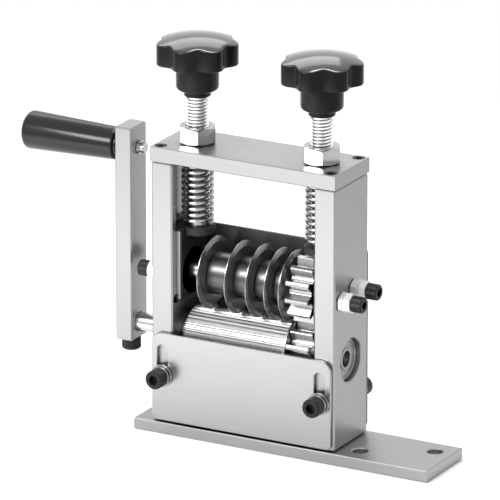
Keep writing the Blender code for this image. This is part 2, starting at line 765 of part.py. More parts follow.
def make_side_plate(name, side):
    half = PLATE_DEPTH / 2
    low_x, high_x = sorted((side * PLATE_INNER_X, side * PLATE_OUTER_X))
    obj = plate(name, (low_x, -half, PLATE_BOTTOM_Z), (high_x, half, PLATE_TOP_Z), PLATE_EDGE, BRUSHED)
    pocket_floor = BLOCK_FOOT_Z - GAP
    ends = sorted((side * (PLATE_INNER_X - OVERRUN), side * (PLATE_INNER_X + POCKET_DEPTH)))
    low = (ends[0], -POCKET_HALF, pocket_floor)
    high = (ends[1], POCKET_HALF, PLATE_TOP_Z + OVERRUN)
    cut_box(obj, name + " pocket", low, high)

    outward = (side, 0, 0)
    relief_start = side * (PLATE_INNER_X - OVERRUN)
    relief_depth = POCKET_DEPTH + OVERRUN - GAP
    radius = POCKET_RELIEF_RADIUS
    reliefs = []
    for y in (-POCKET_HALF, POCKET_HALF):
        reliefs.append(((relief_start, y, pocket_floor + radius / 2), outward, radius, radius, relief_depth))
    drill(obj, name + " reliefs", reliefs, SMALL_ROUND)

    bore = DRIVE_BEARING_RADIUS + GAP
    seat_x = side * (DRIVE_BEARING_INNER_X - GAP)
    seat_depth = PLATE_OUTER_X - DRIVE_BEARING_INNER_X + GAP + OVERRUN
    seat = ((seat_x, 0, DRIVE_Z), outward, bore, bore, seat_depth)
    drill(obj, name + " bearing seat", [seat], LARGE_ROUND)
    inner = DRIVE_BEARING_RADIUS - BEARING_SHOULDER
    start_x = side * (PLATE_INNER_X - OVERRUN)
    through = PLATE_THICKNESS + OVERRUN
    drill(obj, name + " shaft hole", [((start_x, 0, DRIVE_Z), outward, inner, inner, through)])

    adjuster = ADJUSTER_RADIUS + GAP
    holes = []
    start_x = side * (PLATE_INNER_X + POCKET_DEPTH / 2)
    for (y, z), _ in adjuster_places(side):
        holes.append(((start_x, y, z), outward, adjuster, adjuster, PLATE_THICKNESS))
    drill(obj, name + " adjuster holes", holes, SMALL_ROUND)

    hole = GUIDE_SCREW_RADIUS + GAP
    depth = GUIDE_SCREW_DEPTH + GAP + OVERRUN
    screw_x = side * GUIDE_SCREW_PLACE
    front = (screw_x, -half - OVERRUN, GUIDE_SCREW_HEIGHT)
    back = (screw_x, half + OVERRUN, REAR_SCREW_HEIGHT)
    holes = [(front, (0, 1, 0), hole, hole, depth), (back, (0, -1, 0), hole, hole, depth)]
    drill(obj, name + " guide screw holes", holes, SMALL_ROUND)

    hole = TOP_SCREW_RADIUS + GAP
    depth = TOP_SCREW_DEPTH + GAP + OVERRUN
    holes = []
    for x, y in top_screw_places():
        if x * side > 0:
            holes.append(((x, y, PLATE_TOP_Z + OVERRUN), (0, 0, -1), hole, hole, depth))
    drill(obj, name + " top screw holes", holes, SMALL_ROUND)
    return obj


def bearing(name, bore, radius, width, face, side):
    """A sealed ball bearing whose visible face is centred on the point given and looks left
    or right. The seal is a shallow groove between the inner and the outer ring."""
    edge = TURNED_EDGE
    groove_outer = radius - BEARING_RING
    groove_inner = bore + BEARING_RING
    profile = [
        (bore, 0),
        (groove_inner, 0),
        (groove_inner, -BEARING_SEAL_DEPTH),
        (groove_outer, -BEARING_SEAL_DEPTH),
        (groove_outer, 0),
        (radius - edge, 0),
        (radius, -edge),
        (radius, -width),
        (bore, -width),
    ]
    return turned(name, profile, POLISHED, direction_matrix(face, (side, 0, 0)), ring=True)


def make_guide_plate():
    low = GUIDE_FOOT_Z
    high = low + GUIDE_HEIGHT
    half = PLATE_OUTER_X - GUIDE_SIDE_MARGIN
    outline = rounded_rectangle(half, low, high, GUIDE_FOOT_CORNER, GUIDE_TOP_CORNER)
    radius = GUIDE_SCREW_RADIUS + GAP
    low_centre = GUIDE_SCREW_HEIGHT - GUIDE_SLOT_DROP
    high_centre = GUIDE_SCREW_HEIGHT + GUIDE_SLOT_RISE
    outlines = [outline]
    for x in (-GUIDE_SCREW_PLACE, GUIDE_SCREW_PLACE):
        outlines.append(upright_slot(x, low_centre, high_centre, radius))
    front = -GUIDE_FRONT_Y
    back = front - GUIDE_THICKNESS
    return flat_piece("front_guide_plate", outlines, back, front, STAINLESS, STANDING)


def make_rear_plate():
    """The plate and the two rings riveted to it, which hold it off the side plates."""
    half = PLATE_OUTER_X - REAR_SIDE_MARGIN
    outline = rounded_rectangle(half, GUIDE_FOOT_Z, REAR_TOP_HEIGHT, REAR_CORNER, REAR_CORNER)
    radius = GUIDE_SCREW_RADIUS + GAP
    screws = (-GUIDE_SCREW_PLACE, GUIDE_SCREW_PLACE)
    holes = [circle(radius, SMALL_ROUND, (x, REAR_SCREW_HEIGHT)) for x in screws]
    for x, radius in zip(BLADE_X, WIRE_HOLE_RADII):
        holes.append(circle(radius, SMALL_ROUND, (x, DRIVE_Z + ROLLER_RADIUS + radius)))
    outlines = [outline] + holes
    obj = flat_piece("rear_guide_plate", outlines, -REAR_BACK_Y, -REAR_FRONT_Y, STAINLESS, STANDING)
    for x in screws:
        place = direction_matrix((x, REAR_FRONT_Y + GAP, REAR_SCREW_HEIGHT), (0, -1, 0))
        bore = GUIDE_SCREW_RADIUS + 2 * GAP
        profile = ring_profile(bore, STANDOFF_RADIUS, 0, REAR_STANDOFF, TURNED_EDGE / 2)
        ring = turned("standoff", profile, STAINLESS, place, ring=True, sides=SMALL_ROUND)
        shape_with(obj, ring, "UNION")
    return obj


def make_guide_screws():
    """The screws of the front and the rear guide plate, each one piece with its washers."""
    flat = (FLAT_WASHER_RADIUS, FLAT_WASHER_THICKNESS)
    sprung = (SPRING_WASHER_RADIUS, SPRING_WASHER_THICKNESS)
    kinds = (
        ("front", -1, -GUIDE_FRONT_Y + GAP, GUIDE_SCREW_HEIGHT, (sprung, flat)),
        ("rear", 1, REAR_BACK_Y + GAP, REAR_SCREW_HEIGHT, (sprung,)),
    )
    head_radius = GUIDE_SCREW_HEAD_RADIUS
    head_height = GUIDE_SCREW_HEAD_HEIGHT
    for label, facing, seat, height, washers in kinds:
        foot = seat
        for _, thickness in washers:
            foot += thickness + GAP
        length = foot - PLATE_DEPTH / 2 + GUIDE_SCREW_DEPTH
        for hand, x in (("left", -GUIDE_SCREW_PLACE), ("right", GUIDE_SCREW_PLACE)):
            name = f"{label}_plate_{hand}_screw"
            place = direction_matrix((x, facing * foot, height), (0, facing, 0))
            cap_screw(name, place, head_radius, head_height, GUIDE_SCREW_RADIUS, length, washers)


def make_adjusters(hand, side):
    """The adjusting screws of one side plate and the lock nuts on them."""
    for label, ((y, z), nuts) in zip(("front", "rear"), adjuster_places(side)):
        reach = PLATE_OUTER_X + GAP
        for index, height in enumerate(nuts):
            number = f"_{index + 1}" if len(nuts) > 1 else ""
            name = f"{hand}_{label}_lock_nut{number}"
            place = direction_matrix((side * reach, y, z), (side, 0, 0))
            hexagon_nut(name, place, LOCK_NUT_FLATS, ADJUSTER_RADIUS + GAP, height)
            reach += height + GAP
        length = reach - BLOCK_OUTER_X - GAP
        name = f"{hand}_{label}_adjusting_screw"
        place = direction_matrix((side * reach, y, z), (side, 0, 0))
        cap_screw(name, place, ADJUSTER_HEAD_RADIUS, ADJUSTER_HEAD_HEIGHT, ADJUSTER_RADIUS, length)


def make_block(name, side):
    """A bearing block with a blind bearing seat in its inner face and a lip at its top."""
    low_x, high_x = sorted((side * BLOCK_INNER_X, side * BLOCK_OUTER_X))
    low = (low_x, -BLOCK_HALF, BLOCK_FOOT_Z)
    high = (high_x, BLOCK_HALF, BLOCK_HEAD_Z)
    obj = plate(name, low, high, PLATE_EDGE, GUNMETAL)

    centre = side * SCREW_PLACE
    turn = 0 if side < 0 else math.pi
    steps = ROUND // 2
    round_end = []
    for index in range(steps + 1):
        angle = turn - math.pi / 2 + math.pi * index / steps
        round_end.append((centre + LIP_RADIUS * math.cos(angle), LIP_RADIUS * math.sin(angle)))
    root_x = side * (BLOCK_INNER_X + BLOCK_PROUD)
    ends = [(root_x, round_end[-1][1]), (root_x, round_end[0][1])]
    upright = Matrix.Identity(4)
    lip = flat_piece(name + " lip", [round_end + ends], LIP_FOOT_Z, BLOCK_HEAD_Z, GUNMETAL, upright)
    shape_with(obj, lip, "UNION")

    seat = BLADE_BEARING_RADIUS + GAP
    start_x = side * (BLOCK_INNER_X - OVERRUN)
    depth = OVERRUN + BLADE_BEARING_OUTER_X + GAP - BLOCK_INNER_X
    hole = ((start_x, 0, BLADE_Z), (side, 0, 0), seat, seat, depth)
    drill(obj, name + " bearing seat", [hole], LARGE_ROUND)
    pin = PIN_RADIUS + GAP
    start = (centre, 0, LIP_FOOT_Z - OVERRUN)
    depth = LIP_THICKNESS + 2 * OVERRUN
    drill(obj, name + " screw hole", [(start, (0, 0, 1), pin, pin, depth)], SMALL_ROUND)
    room = RIVET_RADIUS + RIVET_MARGIN
    start = (centre, 0, LIP_FOOT_Z - RIVET_ROOM)
    drill(obj, name + " rivet room", [(start, (0, 0, 1), room, room, RIVET_ROOM + GAP / 2)], SMALL_ROUND)
    return obj


def blade_key_ends():
    return BLADE_X[0] - BLADE_THICKNESS / 2, GEAR_RIGHT_X


def drive_key_ends():
    return ROLLER_LEFT_X, GEAR_RIGHT_X


def add_key(obj, ends):
    """The key along the top of a shaft, one piece with it."""
    half = KEY_WIDTH / 2
    name = obj.name + " key"
    low = (-half, SHAFT_RADIUS / 2, ends[0])
    high = (half, SHAFT_RADIUS + KEY_PROUD, ends[1])
    key = bpy.data.objects.new(name, box_mesh(name, low, high))
    PIECES.objects.link(key)
    key.matrix_world = obj.matrix_world
    shape_with(obj, key, "UNION")


def make_blade_shaft():
    end = BLADE_BEARING_OUTER_X - GAP
    ring_right = BLADE_X[0] - BLADE_THICKNESS / 2
    groove_high = ring_right
    groove_low = ring_right - 2 * GAP - RETAINING_RING_WIDTH
    groove_radius = SHAFT_RADIUS - RING_GROOVE_DEPTH
    steps = [
        (SHAFT_RADIUS, groove_high, end),
        (groove_radius, groove_low, groove_high),
        (SHAFT_RADIUS, -end, groove_low),
    ]
    place = Matrix.Translation((0, 0, BLADE_Z)) @ ALONG_X
    obj = turned("blade_shaft", stepped_profile(steps), POLISHED, place)
    add_key(obj, blade_key_ends())
    return obj


def make_retaining_ring():
    inner = SHAFT_RADIUS - RING_GROOVE_DEPTH + GAP
    high = BLADE_X[0] - BLADE_THICKNESS / 2 - GAP
    outer = inner + RETAINING_RING_WALL
    profile = ring_profile(inner, outer, high - RETAINING_RING_WIDTH, high, TURNED_EDGE / 2)
    place = Matrix.Translation((0, 0, BLADE_Z)) @ ALONG_X
    return turned("blade_retaining_ring", profile, BLACK_OXIDE, place, ring=True, sides=SMALL_ROUND)


def make_blade(index):
    """A round blade, bevelled from both faces to a narrow edge."""
    half = BLADE_THICKNESS / 2
    edge = BLADE_EDGE / 2
    shoulder = BLADE_RADIUS - BLADE_BEVEL
    profile = [
        (SHAFT_BORE, half),
        (shoulder, half),
        (BLADE_RADIUS, edge),
        (BLADE_RADIUS, -edge),
        (shoulder, -half),
        (SHAFT_BORE, -half),
    ]
    place = Matrix.Translation((BLADE_X[index], 0, BLADE_Z)) @ ALONG_X
    obj = turned(f"blade_{index + 1}", profile, GUNMETAL, place, ring=True, sides=LARGE_ROUND)
    notch_bore(obj, -half, half)
    return obj


def make_spacer(index):
    low = BLADE_X[index] + BLADE_THICKNESS / 2 + GAP
    high = BLADE_X[index + 1] - BLADE_THICKNESS / 2 - GAP
    profile = ring_profile(SHAFT_BORE, SPACER_RADIUS, low, high)
    place = Matrix.Translation((0, 0, BLADE_Z)) @ ALONG_X
    obj = turned(f"blade_spacer_{index + 1}", profile, GUNMETAL, place, ring=True)
    notch_bore(obj, low, high)
    return obj


def notch_bore(obj, low, high):
    """The key's notch in a turned piece's bore, between two heights along its own axis."""
    half = KEY_WIDTH / 2 + GAP
    near = (-half, SHAFT_RADIUS / 2, low - OVERRUN)
    far = (half, SHAFT_RADIUS + KEY_PROUD + GAP, high + OVERRUN)
    cut_box(obj, obj.name + " notch", near, far)


def gear_outline(first_tooth):
    """Straight-sided teeth, the first at the angle given."""
    pitch = math.tau / GEAR_TEETH
    tip = math.asin(TOOTH_TIP_WIDTH / 2 / GEAR_TIP_RADIUS)
    root = math.asin(TOOTH_ROOT_WIDTH / 2 / GEAR_ROOT_RADIUS)
    outline = []
    for tooth in range(GEAR_TEETH):
        middle = first_tooth + pitch * tooth
        corners = (
            (GEAR_ROOT_RADIUS, -root),
            (GEAR_TIP_RADIUS, -tip),
            (GEAR_TIP_RADIUS, tip),
            (GEAR_ROOT_RADIUS, root),
        )
        for radius, offset in corners:
            angle = middle + offset
            outline.append((radius * math.cos(angle), radius * math.sin(angle)))
    return outline


def make_gear(name, axis_z, facing, hub_radius, hub_low, hub_high):
    """A gear whose teeth straddle the line to the other shaft, so that the two mesh. Its hub
    runs on past its teeth, and one keyed bore goes through both."""
    first_tooth = facing + math.tau / GEAR_TEETH / 4
    place = Matrix.Translation((0, 0, axis_z)) @ ALONG_X
    teeth = gear_outline(first_tooth)
    obj = flat_piece(name, [teeth], GEAR_LEFT_X, GEAR_RIGHT_X, POLISHED, place)
    hub = flat_piece(name + " hub", [circle(hub_radius)], hub_low, hub_high, POLISHED, place)
    shape_with(obj, hub, "UNION")
    cut_keyed_bore(obj, place, GEAR_LEFT_X - GEAR_BOSS_LENGTH, PLATE_INNER_X)
    return obj


def cut_keyed_bore(obj, place, low, high):
    """A keyed bore right through, by a cutter between two heights and a little more."""
    name = obj.name + " bore"
    cutter = flat_piece(name, [keyed_bore()], low - OVERRUN, high + OVERRUN, POLISHED, place)
    shape_with(obj, cutter, "DIFFERENCE")


def make_side_disc():
    place = Matrix.Translation((0, 0, DRIVE_Z)) @ ALONG_X
    outlines = [circle(GEAR_TIP_RADIUS, LARGE_ROUND), keyed_bore()]
    return flat_piece("feed_side_disc", outlines, DISC_LEFT_X, DISC_RIGHT_X, POLISHED, place)


def make_roller():
    """The feed roller, serrated along its length, with a hub that stands off the plate."""
    outline = []
    for index in range(2 * ROLLER_SERRATIONS):
        radius = ROLLER_RADIUS - SERRATION_DEPTH * (index % 2)
        angle = math.pi * index / ROLLER_SERRATIONS
        outline.append((radius * math.cos(angle), radius * math.sin(angle)))
    place = Matrix.Translation((0, 0, DRIVE_Z)) @ ALONG_X
    obj = flat_piece("feed_roller", [outline], ROLLER_LEFT_X, ROLLER_RIGHT_X, POLISHED, place)
    hub_low = GAP - PLATE_INNER_X
    hub = flat_piece("roller hub", [circle(HUB_RADIUS)], hub_low, ROLLER_LEFT_X + OVERRUN, POLISHED, place)
    shape_with(obj, hub, "UNION")
    cut_keyed_bore(obj, place, hub_low, ROLLER_RIGHT_X)
    return obj


def make_drive_shaft():
    steps = [
        (DRIVE_RIGHT_RADIUS, PLATE_INNER_X, PLATE_OUTER_X - BEARING_RECESS - DRIVE_END_RECESS),
        (SHAFT_RADIUS, -PLATE_INNER_X, PLATE_INNER_X),
        (DRIVE_LEFT_RADIUS, ARM_OUTER_X, -PLATE_INNER_X),
    ]
    place = Matrix.Translation((0, 0, DRIVE_Z)) @ ALONG_X
    obj = turned("drive_shaft", stepped_profile(steps), POLISHED, place)
    add_key(obj, drive_key_ends())
    return obj


def make_pressure_screw(name, side):
    """A threaded rod on a plain spindle. Its lower end goes through the block's lip and is
    riveted over below, so that the screw also lifts its block."""
    rivet_top = LIP_FOOT_Z - GAP
    steps = [
        (SCREW_RADIUS, TOP_BOTTOM_Z, SCREW_TOP_Z),
        (SPINDLE_RADIUS, BLOCK_HEAD_Z + GAP, TOP_BOTTOM_Z),
        (PIN_RADIUS, rivet_top, BLOCK_HEAD_Z + GAP),
        (RIVET_RADIUS, rivet_top - RIVET_THICKNESS, rivet_top),
    ]
    place = Matrix.Translation((side * SCREW_PLACE, 0, 0))
    return turned(name, stepped_profile(steps), POLISHED, place)


def star_radius(radius, angle):
    """How far the star's rim reaches at an angle, where its lobes reach the radius given."""
    dip = (0.5 - 0.5 * math.cos(KNOB_LOBES * angle)) ** VALLEY_SHARPNESS
    return radius * (1 - KNOB_VALLEY_DEPTH / KNOB_LOBE_RADIUS * dip)


def dome_height(radius):
    return HEAD_EDGE_Z + KNOB_DOME_HEIGHT * (1 - (radius / KNOB_LOBE_RADIUS) ** 2)


def round_ring(radius, height):
    """Points round the knob's axis, as many as its star form has."""
    angles = [math.tau * index / KNOB_POINTS for index in range(KNOB_POINTS)]
    return [Vector((radius * math.cos(a), radius * math.sin(a), height)) for a in angles]


def star_ring(radius, height):
    """A ring of the star form. The height is a number, or a function of the reach."""
    points = []
    for index in range(KNOB_POINTS):
        angle = math.tau * index / KNOB_POINTS
        reach = star_radius(radius, angle)
        level = height(reach) if callable(height) else height
        points.append(Vector((reach * math.cos(angle), reach * math.sin(angle), level)))
    return points


def loft(name, rings, finish, place):
    """A closed skin over rings of points, all of one count, from a first centre to a last."""
    bm = bmesh.new()
    loops = []
    for ring in rings:
        loops.append([bm.verts.new(point) for point in ring])
    for lower, upper in zip(loops, loops[1:]):
        if len(lower) == 1 or len(upper) == 1:
            single = lower if len(lower) == 1 else upper
            ring = upper if len(lower) == 1 else lower
            for index in range(len(ring)):
                bm.faces.new((single[0], ring[index - 1], ring[index]))
            continue
        for index in range(len(lower)):
            bm.faces.new((lower[index - 1], lower[index], upper[index], upper[index - 1]))
    bmesh.ops.recalc_face_normals(bm, faces=bm.faces)
    mesh = bpy.data.meshes.new(name)
    bm.to_mesh(mesh)
    bm.free()
    return add_piece(name, mesh, finish, place)


def make_knob(name, side):
    """A seven-lobed star knob on a round hub, domed on top, with a blind bore for its screw."""
    bore = SCREW_RADIUS + GAP
    bore_end = SCREW_TOP_Z + GAP
    neck = bore + KNOB_NECK_WALL
    rings = [
        [Vector((0, 0, bore_end))],
        round_ring(bore, bore_end),
        round_ring(bore, KNOB_FOOT_Z),
        round_ring(neck, KNOB_FOOT_Z),
        round_ring(neck, HUB_FOOT_Z),
    ]
    rounding = KNOB_HUB_ROUNDING
    for step in range(HUB_ROUNDING_STEPS + 1):
        angle = math.pi / 2 * step / HUB_ROUNDING_STEPS
        reach = KNOB_HUB_RADIUS - rounding + rounding * math.sin(angle)
        rings.append(round_ring(reach, HUB_FOOT_Z + rounding * (1 - math.cos(angle))))
    edge = KNOB_LOBE_RADIUS - KNOB_EDGE
    rings += [
        round_ring(KNOB_HUB_RADIUS, HEAD_FOOT_Z),
        star_ring(edge, HEAD_FOOT_Z),
        star_ring(KNOB_LOBE_RADIUS, HEAD_FOOT_Z + KNOB_EDGE),
        star_ring(KNOB_LOBE_RADIUS, lambda reach: dome_height(reach) - KNOB_EDGE),
        star_ring(edge, dome_height),
    ]
    for share in DOME_SHARES:
        rings.append(star_ring(KNOB_LOBE_RADIUS * share, dome_height))
    rings.append([Vector((0, 0, dome_height(0)))])
    turn = Matrix.Rotation(knob_turn(), 4, "Z")
    return loft(name, rings, BLACK_PLASTIC, Matrix.Translation((side * SCREW_PLACE, 0, 0)) @ turn)


def knob_turn():
    """Both knobs stand with a valley to the front right."""
    return KNOB_STAND_ANGLE + math.pi / KNOB_LOBES


def make_spring(name, side):
    """A compression spring round its screw, one unbroken tube with closed end coils."""
    low = BLOCK_HEAD_Z + GAP + SPRING_WIRE_RADIUS
    high = TOP_BOTTOM_Z - GAP - SPRING_WIRE_RADIUS
    radius = SPRING_OUTER_RADIUS - SPRING_WIRE_RADIUS
    closed_pitch = 2 * SPRING_WIRE_RADIUS + SPRING_END_GAP
    open_turns = SPRING_TURNS - 2 * SPRING_CLOSED_TURNS
    open_pitch = (high - low - 2 * SPRING_CLOSED_TURNS * closed_pitch) / open_turns
    count = round(SPRING_TURNS * SPRING_POINTS_PER_TURN) + 1
    points = []
    for index in range(count):
        turn = SPRING_TURNS * index / (count - 1)
        below = min(turn, SPRING_CLOSED_TURNS)
        above = max(turn - (SPRING_TURNS - SPRING_CLOSED_TURNS), 0)
        between = turn - below - above
        height = low + (below + above) * closed_pitch + between * open_pitch
        angle = math.tau * turn
        points.append(Vector((radius * math.cos(angle), radius * math.sin(angle), height)))
    curve = bpy.data.curves.new(name, "CURVE")
    curve.dimensions = "3D"
    curve.bevel_depth = SPRING_WIRE_RADIUS
    curve.bevel_resolution = 1
    curve.use_fill_caps = True
    spline = curve.splines.new("POLY")
    spline.points.add(len(points) - 1)
    for target, point in zip(spline.points, points):
        target.co = (*point, 1)
    obj = bpy.data.objects.new(name, curve)
    PIECES.objects.link(obj)
    obj.location = (side * SCREW_PLACE, 0, 0)
    give_finish(obj, POLISHED)
    return least_gap(points)


def least_gap(points):
    """The least gap of the spring to itself, between points half a turn or more apart."""
    half_turn = SPRING_POINTS_PER_TURN // 2
    least = math.inf
    for index, point in enumerate(points):
        for other in range(index + half_turn, len(points) - 1):
            start, end = points[other], points[other + 1]
            along = (point - start).dot(end - start) / (end - start).length_squared
            nearest = start + (end - start) * min(max(along, 0), 1)
            least = min(least, (point - nearest).length)
    return least - 2 * SPRING_WIRE_RADIUS


def make_pressure_nut(name, side):
    place = Matrix.Translation((side * SCREW_PLACE, 0, TOP_TOP_Z + GAP))
    bore = SCREW_RADIUS + GAP
    return hexagon_nut(name, place, PRESSURE_NUT_FLATS, bore, PRESSURE_NUT_HEIGHT, chamfered=True)


def make_arm():
    half = ARM_WIDTH / 2
    low = (ARM_OUTER_X, -half, ARM_FOOT_Z)
    high = (ARM_INNER_X, half, ARM_HEAD_Z)
    arm = plate("crank_arm", low, high, ARM_EDGE, BRUSHED)
    through = ARM_THICKNESS + 2 * OVERRUN
    shaft = DRIVE_LEFT_RADIUS + GAP
    stud = AXLE_STUD_RADIUS + GAP
    start_x = ARM_OUTER_X - OVERRUN
    holes = [
        ((start_x, 0, DRIVE_Z), (1, 0, 0), shaft, shaft, through),
        ((start_x, 0, HANDLE_Z), (1, 0, 0), stud, stud, through),
    ]
    drill(arm, "arm holes", holes)
    clamp = CLAMP_SCREW_RADIUS + GAP
    start = (ARM_MIDDLE_X, 0, ARM_FOOT_Z - OVERRUN)
    drill(arm, "clamp hole", [(start, (0, 0, 1), clamp, clamp, ARM_FOOT + OVERRUN)], SMALL_ROUND)
    return arm


def make_clamp_screw():
    length = ARM_FOOT - DRIVE_LEFT_RADIUS
    place = direction_matrix((ARM_MIDDLE_X, 0, ARM_FOOT_Z - GAP), (0, 0, -1))
    head_radius = CLAMP_SCREW_HEAD_RADIUS
    head_height = CLAMP_SCREW_HEAD_HEIGHT
    return cap_screw("crank_clamp_screw", place, head_radius, head_height, CLAMP_SCREW_RADIUS, length)


def make_axle():
    """The shoulder bolt on which the grip turns, screwed through the arm."""
    head_foot = GRIP_OUTER_X + GRIP_RECESS_DEPTH - GAP
    steps = [
        (AXLE_STUD_RADIUS, ARM_OUTER_X - GAP, ARM_INNER_X + AXLE_STUD_REACH),
        (AXLE_RADIUS, head_foot, ARM_OUTER_X - GAP),
        (AXLE_HEAD_RADIUS, head_foot - AXLE_HEAD_HEIGHT, head_foot),
    ]
    place = Matrix.Translation((0, 0, HANDLE_Z)) @ ALONG_X
    return turned("handle_axle", stepped_profile(steps), POLISHED, place)


def make_handle_washer():
    bore = AXLE_RADIUS + GAP
    inner_face = ARM_OUTER_X - GAP
    profile = ring_profile(bore, HANDLE_WASHER_RADIUS, WASHER_OUTER_X, inner_face, TURNED_EDGE / 2)
    place = Matrix.Translation((0, 0, HANDLE_Z)) @ ALONG_X
    return turned("handle_washer", profile, POLISHED, place, ring=True)


def make_grip():
    """A tapered grip with a rounded outer end and a recess for the axle's head."""
    bore = AXLE_RADIUS + GAP
    recess = AXLE_HEAD_RADIUS + GRIP_RECESS_MARGIN
    recess_floor = GRIP_OUTER_X + GRIP_RECESS_DEPTH
    rounding = GRIP_ROUNDING
    profile = [
        (bore, GRIP_INNER_X),
        (GRIP_INNER_RADIUS - TURNED_EDGE, GRIP_INNER_X),
        (GRIP_INNER_RADIUS, GRIP_INNER_X - TURNED_EDGE),
    ]
    for step in range(GRIP_ROUNDING_STEPS + 1):
        angle = math.pi / 2 * step / GRIP_ROUNDING_STEPS
        radius = GRIP_OUTER_RADIUS - rounding * (1 - math.cos(angle))
        profile.append((radius, GRIP_OUTER_X + rounding * (1 - math.sin(angle))))
    profile += [(recess, GRIP_OUTER_X), (recess, recess_floor), (bore, recess_floor)]
    place = Matrix.Translation((0, 0, HANDLE_Z)) @ ALONG_X
    return turned("handle_grip", profile, BLACK_PLASTIC, place, ring=True)


def make_frame():
    """Everything that stands still."""
    make_base()
    make_side_plate("left_side_plate", -1)
    make_side_plate("right_side_plate", 1)
    make_top_plate()
    make_top_screws()
    visible = DRIVE_BEARING_OUTER_X
    left_bore = DRIVE_LEFT_RADIUS + GAP
    right_bore = DRIVE_RIGHT_RADIUS + GAP
    width = DRIVE_BEARING_WIDTH
    bearing("left_drive_bearing", left_bore, DRIVE_BEARING_RADIUS, width, (-visible, 0, DRIVE_Z), -1)
    bearing("right_drive_bearing", right_bore, DRIVE_BEARING_RADIUS, width, (visible, 0, DRIVE_Z), 1)
    make_rear_plate()
    make_guide_screws()
    make_adjusters("left", -1)
    make_adjusters("right", 1)
    make_pressure_nut("left_pressure_nut", -1)
    make_pressure_nut("right_pressure_nut", 1)


def make_guide():
    """The front guide plate on its sliding joint."""
    slide = joint_empty("front_plate_slide", (0, GUIDE_FRONT_Y, GUIDE_SCREW_HEIGHT))
    carry(slide, [make_guide_plate()])


def make_carriage():
    """The sliding blocks and, on them, the blade shaft and the two pressure screws."""
    lift = joint_empty("blade_lift", (0, 0, BLADE_Z))
    inner = BLADE_BEARING_INNER_X
    width = BLADE_BEARING_WIDTH
    blocks = [
        make_block("left_bearing_block", -1),
        make_block("right_bearing_block", 1),
        bearing("left_blade_bearing", SHAFT_BORE, BLADE_BEARING_RADIUS, width, (-inner, 0, BLADE_Z), 1),
        bearing("right_blade_bearing", SHAFT_BORE, BLADE_BEARING_RADIUS, width, (inner, 0, BLADE_Z), -1),
    ]
    carry(lift, blocks)
    spin = joint_empty("blade_spin", (0, 0, BLADE_Z))
    spinning = [make_blade_shaft(), make_retaining_ring()]
    spinning += [make_blade(index) for index in range(len(BLADE_X))]
    spinning += [make_spacer(index) for index in range(len(BLADE_X) - 1)]
    boss_low = GEAR_LEFT_X - GEAR_BOSS_LENGTH
    boss_high = GEAR_LEFT_X + OVERRUN
    gear = make_gear("blade_gear", BLADE_Z, -math.pi / 2, GEAR_BOSS_RADIUS, boss_low, boss_high)
    spinning.append(gear)
    carry(spin, spinning)
    carried = [spin]
    for label, side in (("left", -1), ("right", 1)):
        turn = joint_empty(label + "_knob_turn", (side * SCREW_PLACE, 0, HEAD_FOOT_Z))
        screw = make_pressure_screw(label + "_pressure_screw", side)
        carry(turn, [screw, make_knob(label + "_knob", side)])
        gap = make_spring(label + "_spring", side)
        print(f"{label}_spring: least gap to itself {gap / MM:.2f} mm")
        carried.append(turn)
    carry(lift, carried)


def make_crank():
    """The driven shaft with its roller and gear, the crank arm and the turning grip."""
    turn = joint_empty("crank_turn", (0, 0, DRIVE_Z))
    hub_low = GEAR_RIGHT_X - OVERRUN
    hub_high = PLATE_INNER_X - GAP
    turning = [
        make_drive_shaft(),
        make_roller(),
        make_side_disc(),
        make_gear("drive_gear", DRIVE_Z, math.pi / 2, HUB_RADIUS, hub_low, hub_high),
        make_arm(),
        make_clamp_screw(),
        make_axle(),
        make_handle_washer(),
    ]
    carry(turn, turning)
    spin = joint_empty("grip_spin", (GRIP_INNER_X, 0, HANDLE_Z))
    carry(spin, [make_grip()])
    carry(turn, [spin])


def shade():
    """Smooth shading on the round pieces, with their corners kept."""
    for obj in PIECES.objects:
        if obj.type == "MESH":
            obj.data.shade_smooth()
            obj.data.set_sharp_from_angle(angle=CORNER_ANGLE)


for old in list(bpy.data.objects):
    bpy.data.objects.remove(old)
PIECES = collection_named("hand_crank_wire_stripper")
CUTTERS = collection_named("cutters")
make_frame()
make_guide()
make_carriage()
make_crank()
shade()
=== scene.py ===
"""Hand crank wire stripper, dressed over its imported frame.

The frame holds the solids and the joints. Each operator below models one piece, or one group
of like pieces, in the frame's own place, gives it its finish and ties it to the body that it
moves with. The sizes and the colours that a user would change are on the scene, and the panel
in the 3D view's sidebar lists the operators in the order in which they run.
"""

import json
import math

import bmesh
import bpy
from bpy.props import FloatProperty, FloatVectorProperty, IntProperty, PointerProperty
from mathutils import Matrix, Vector


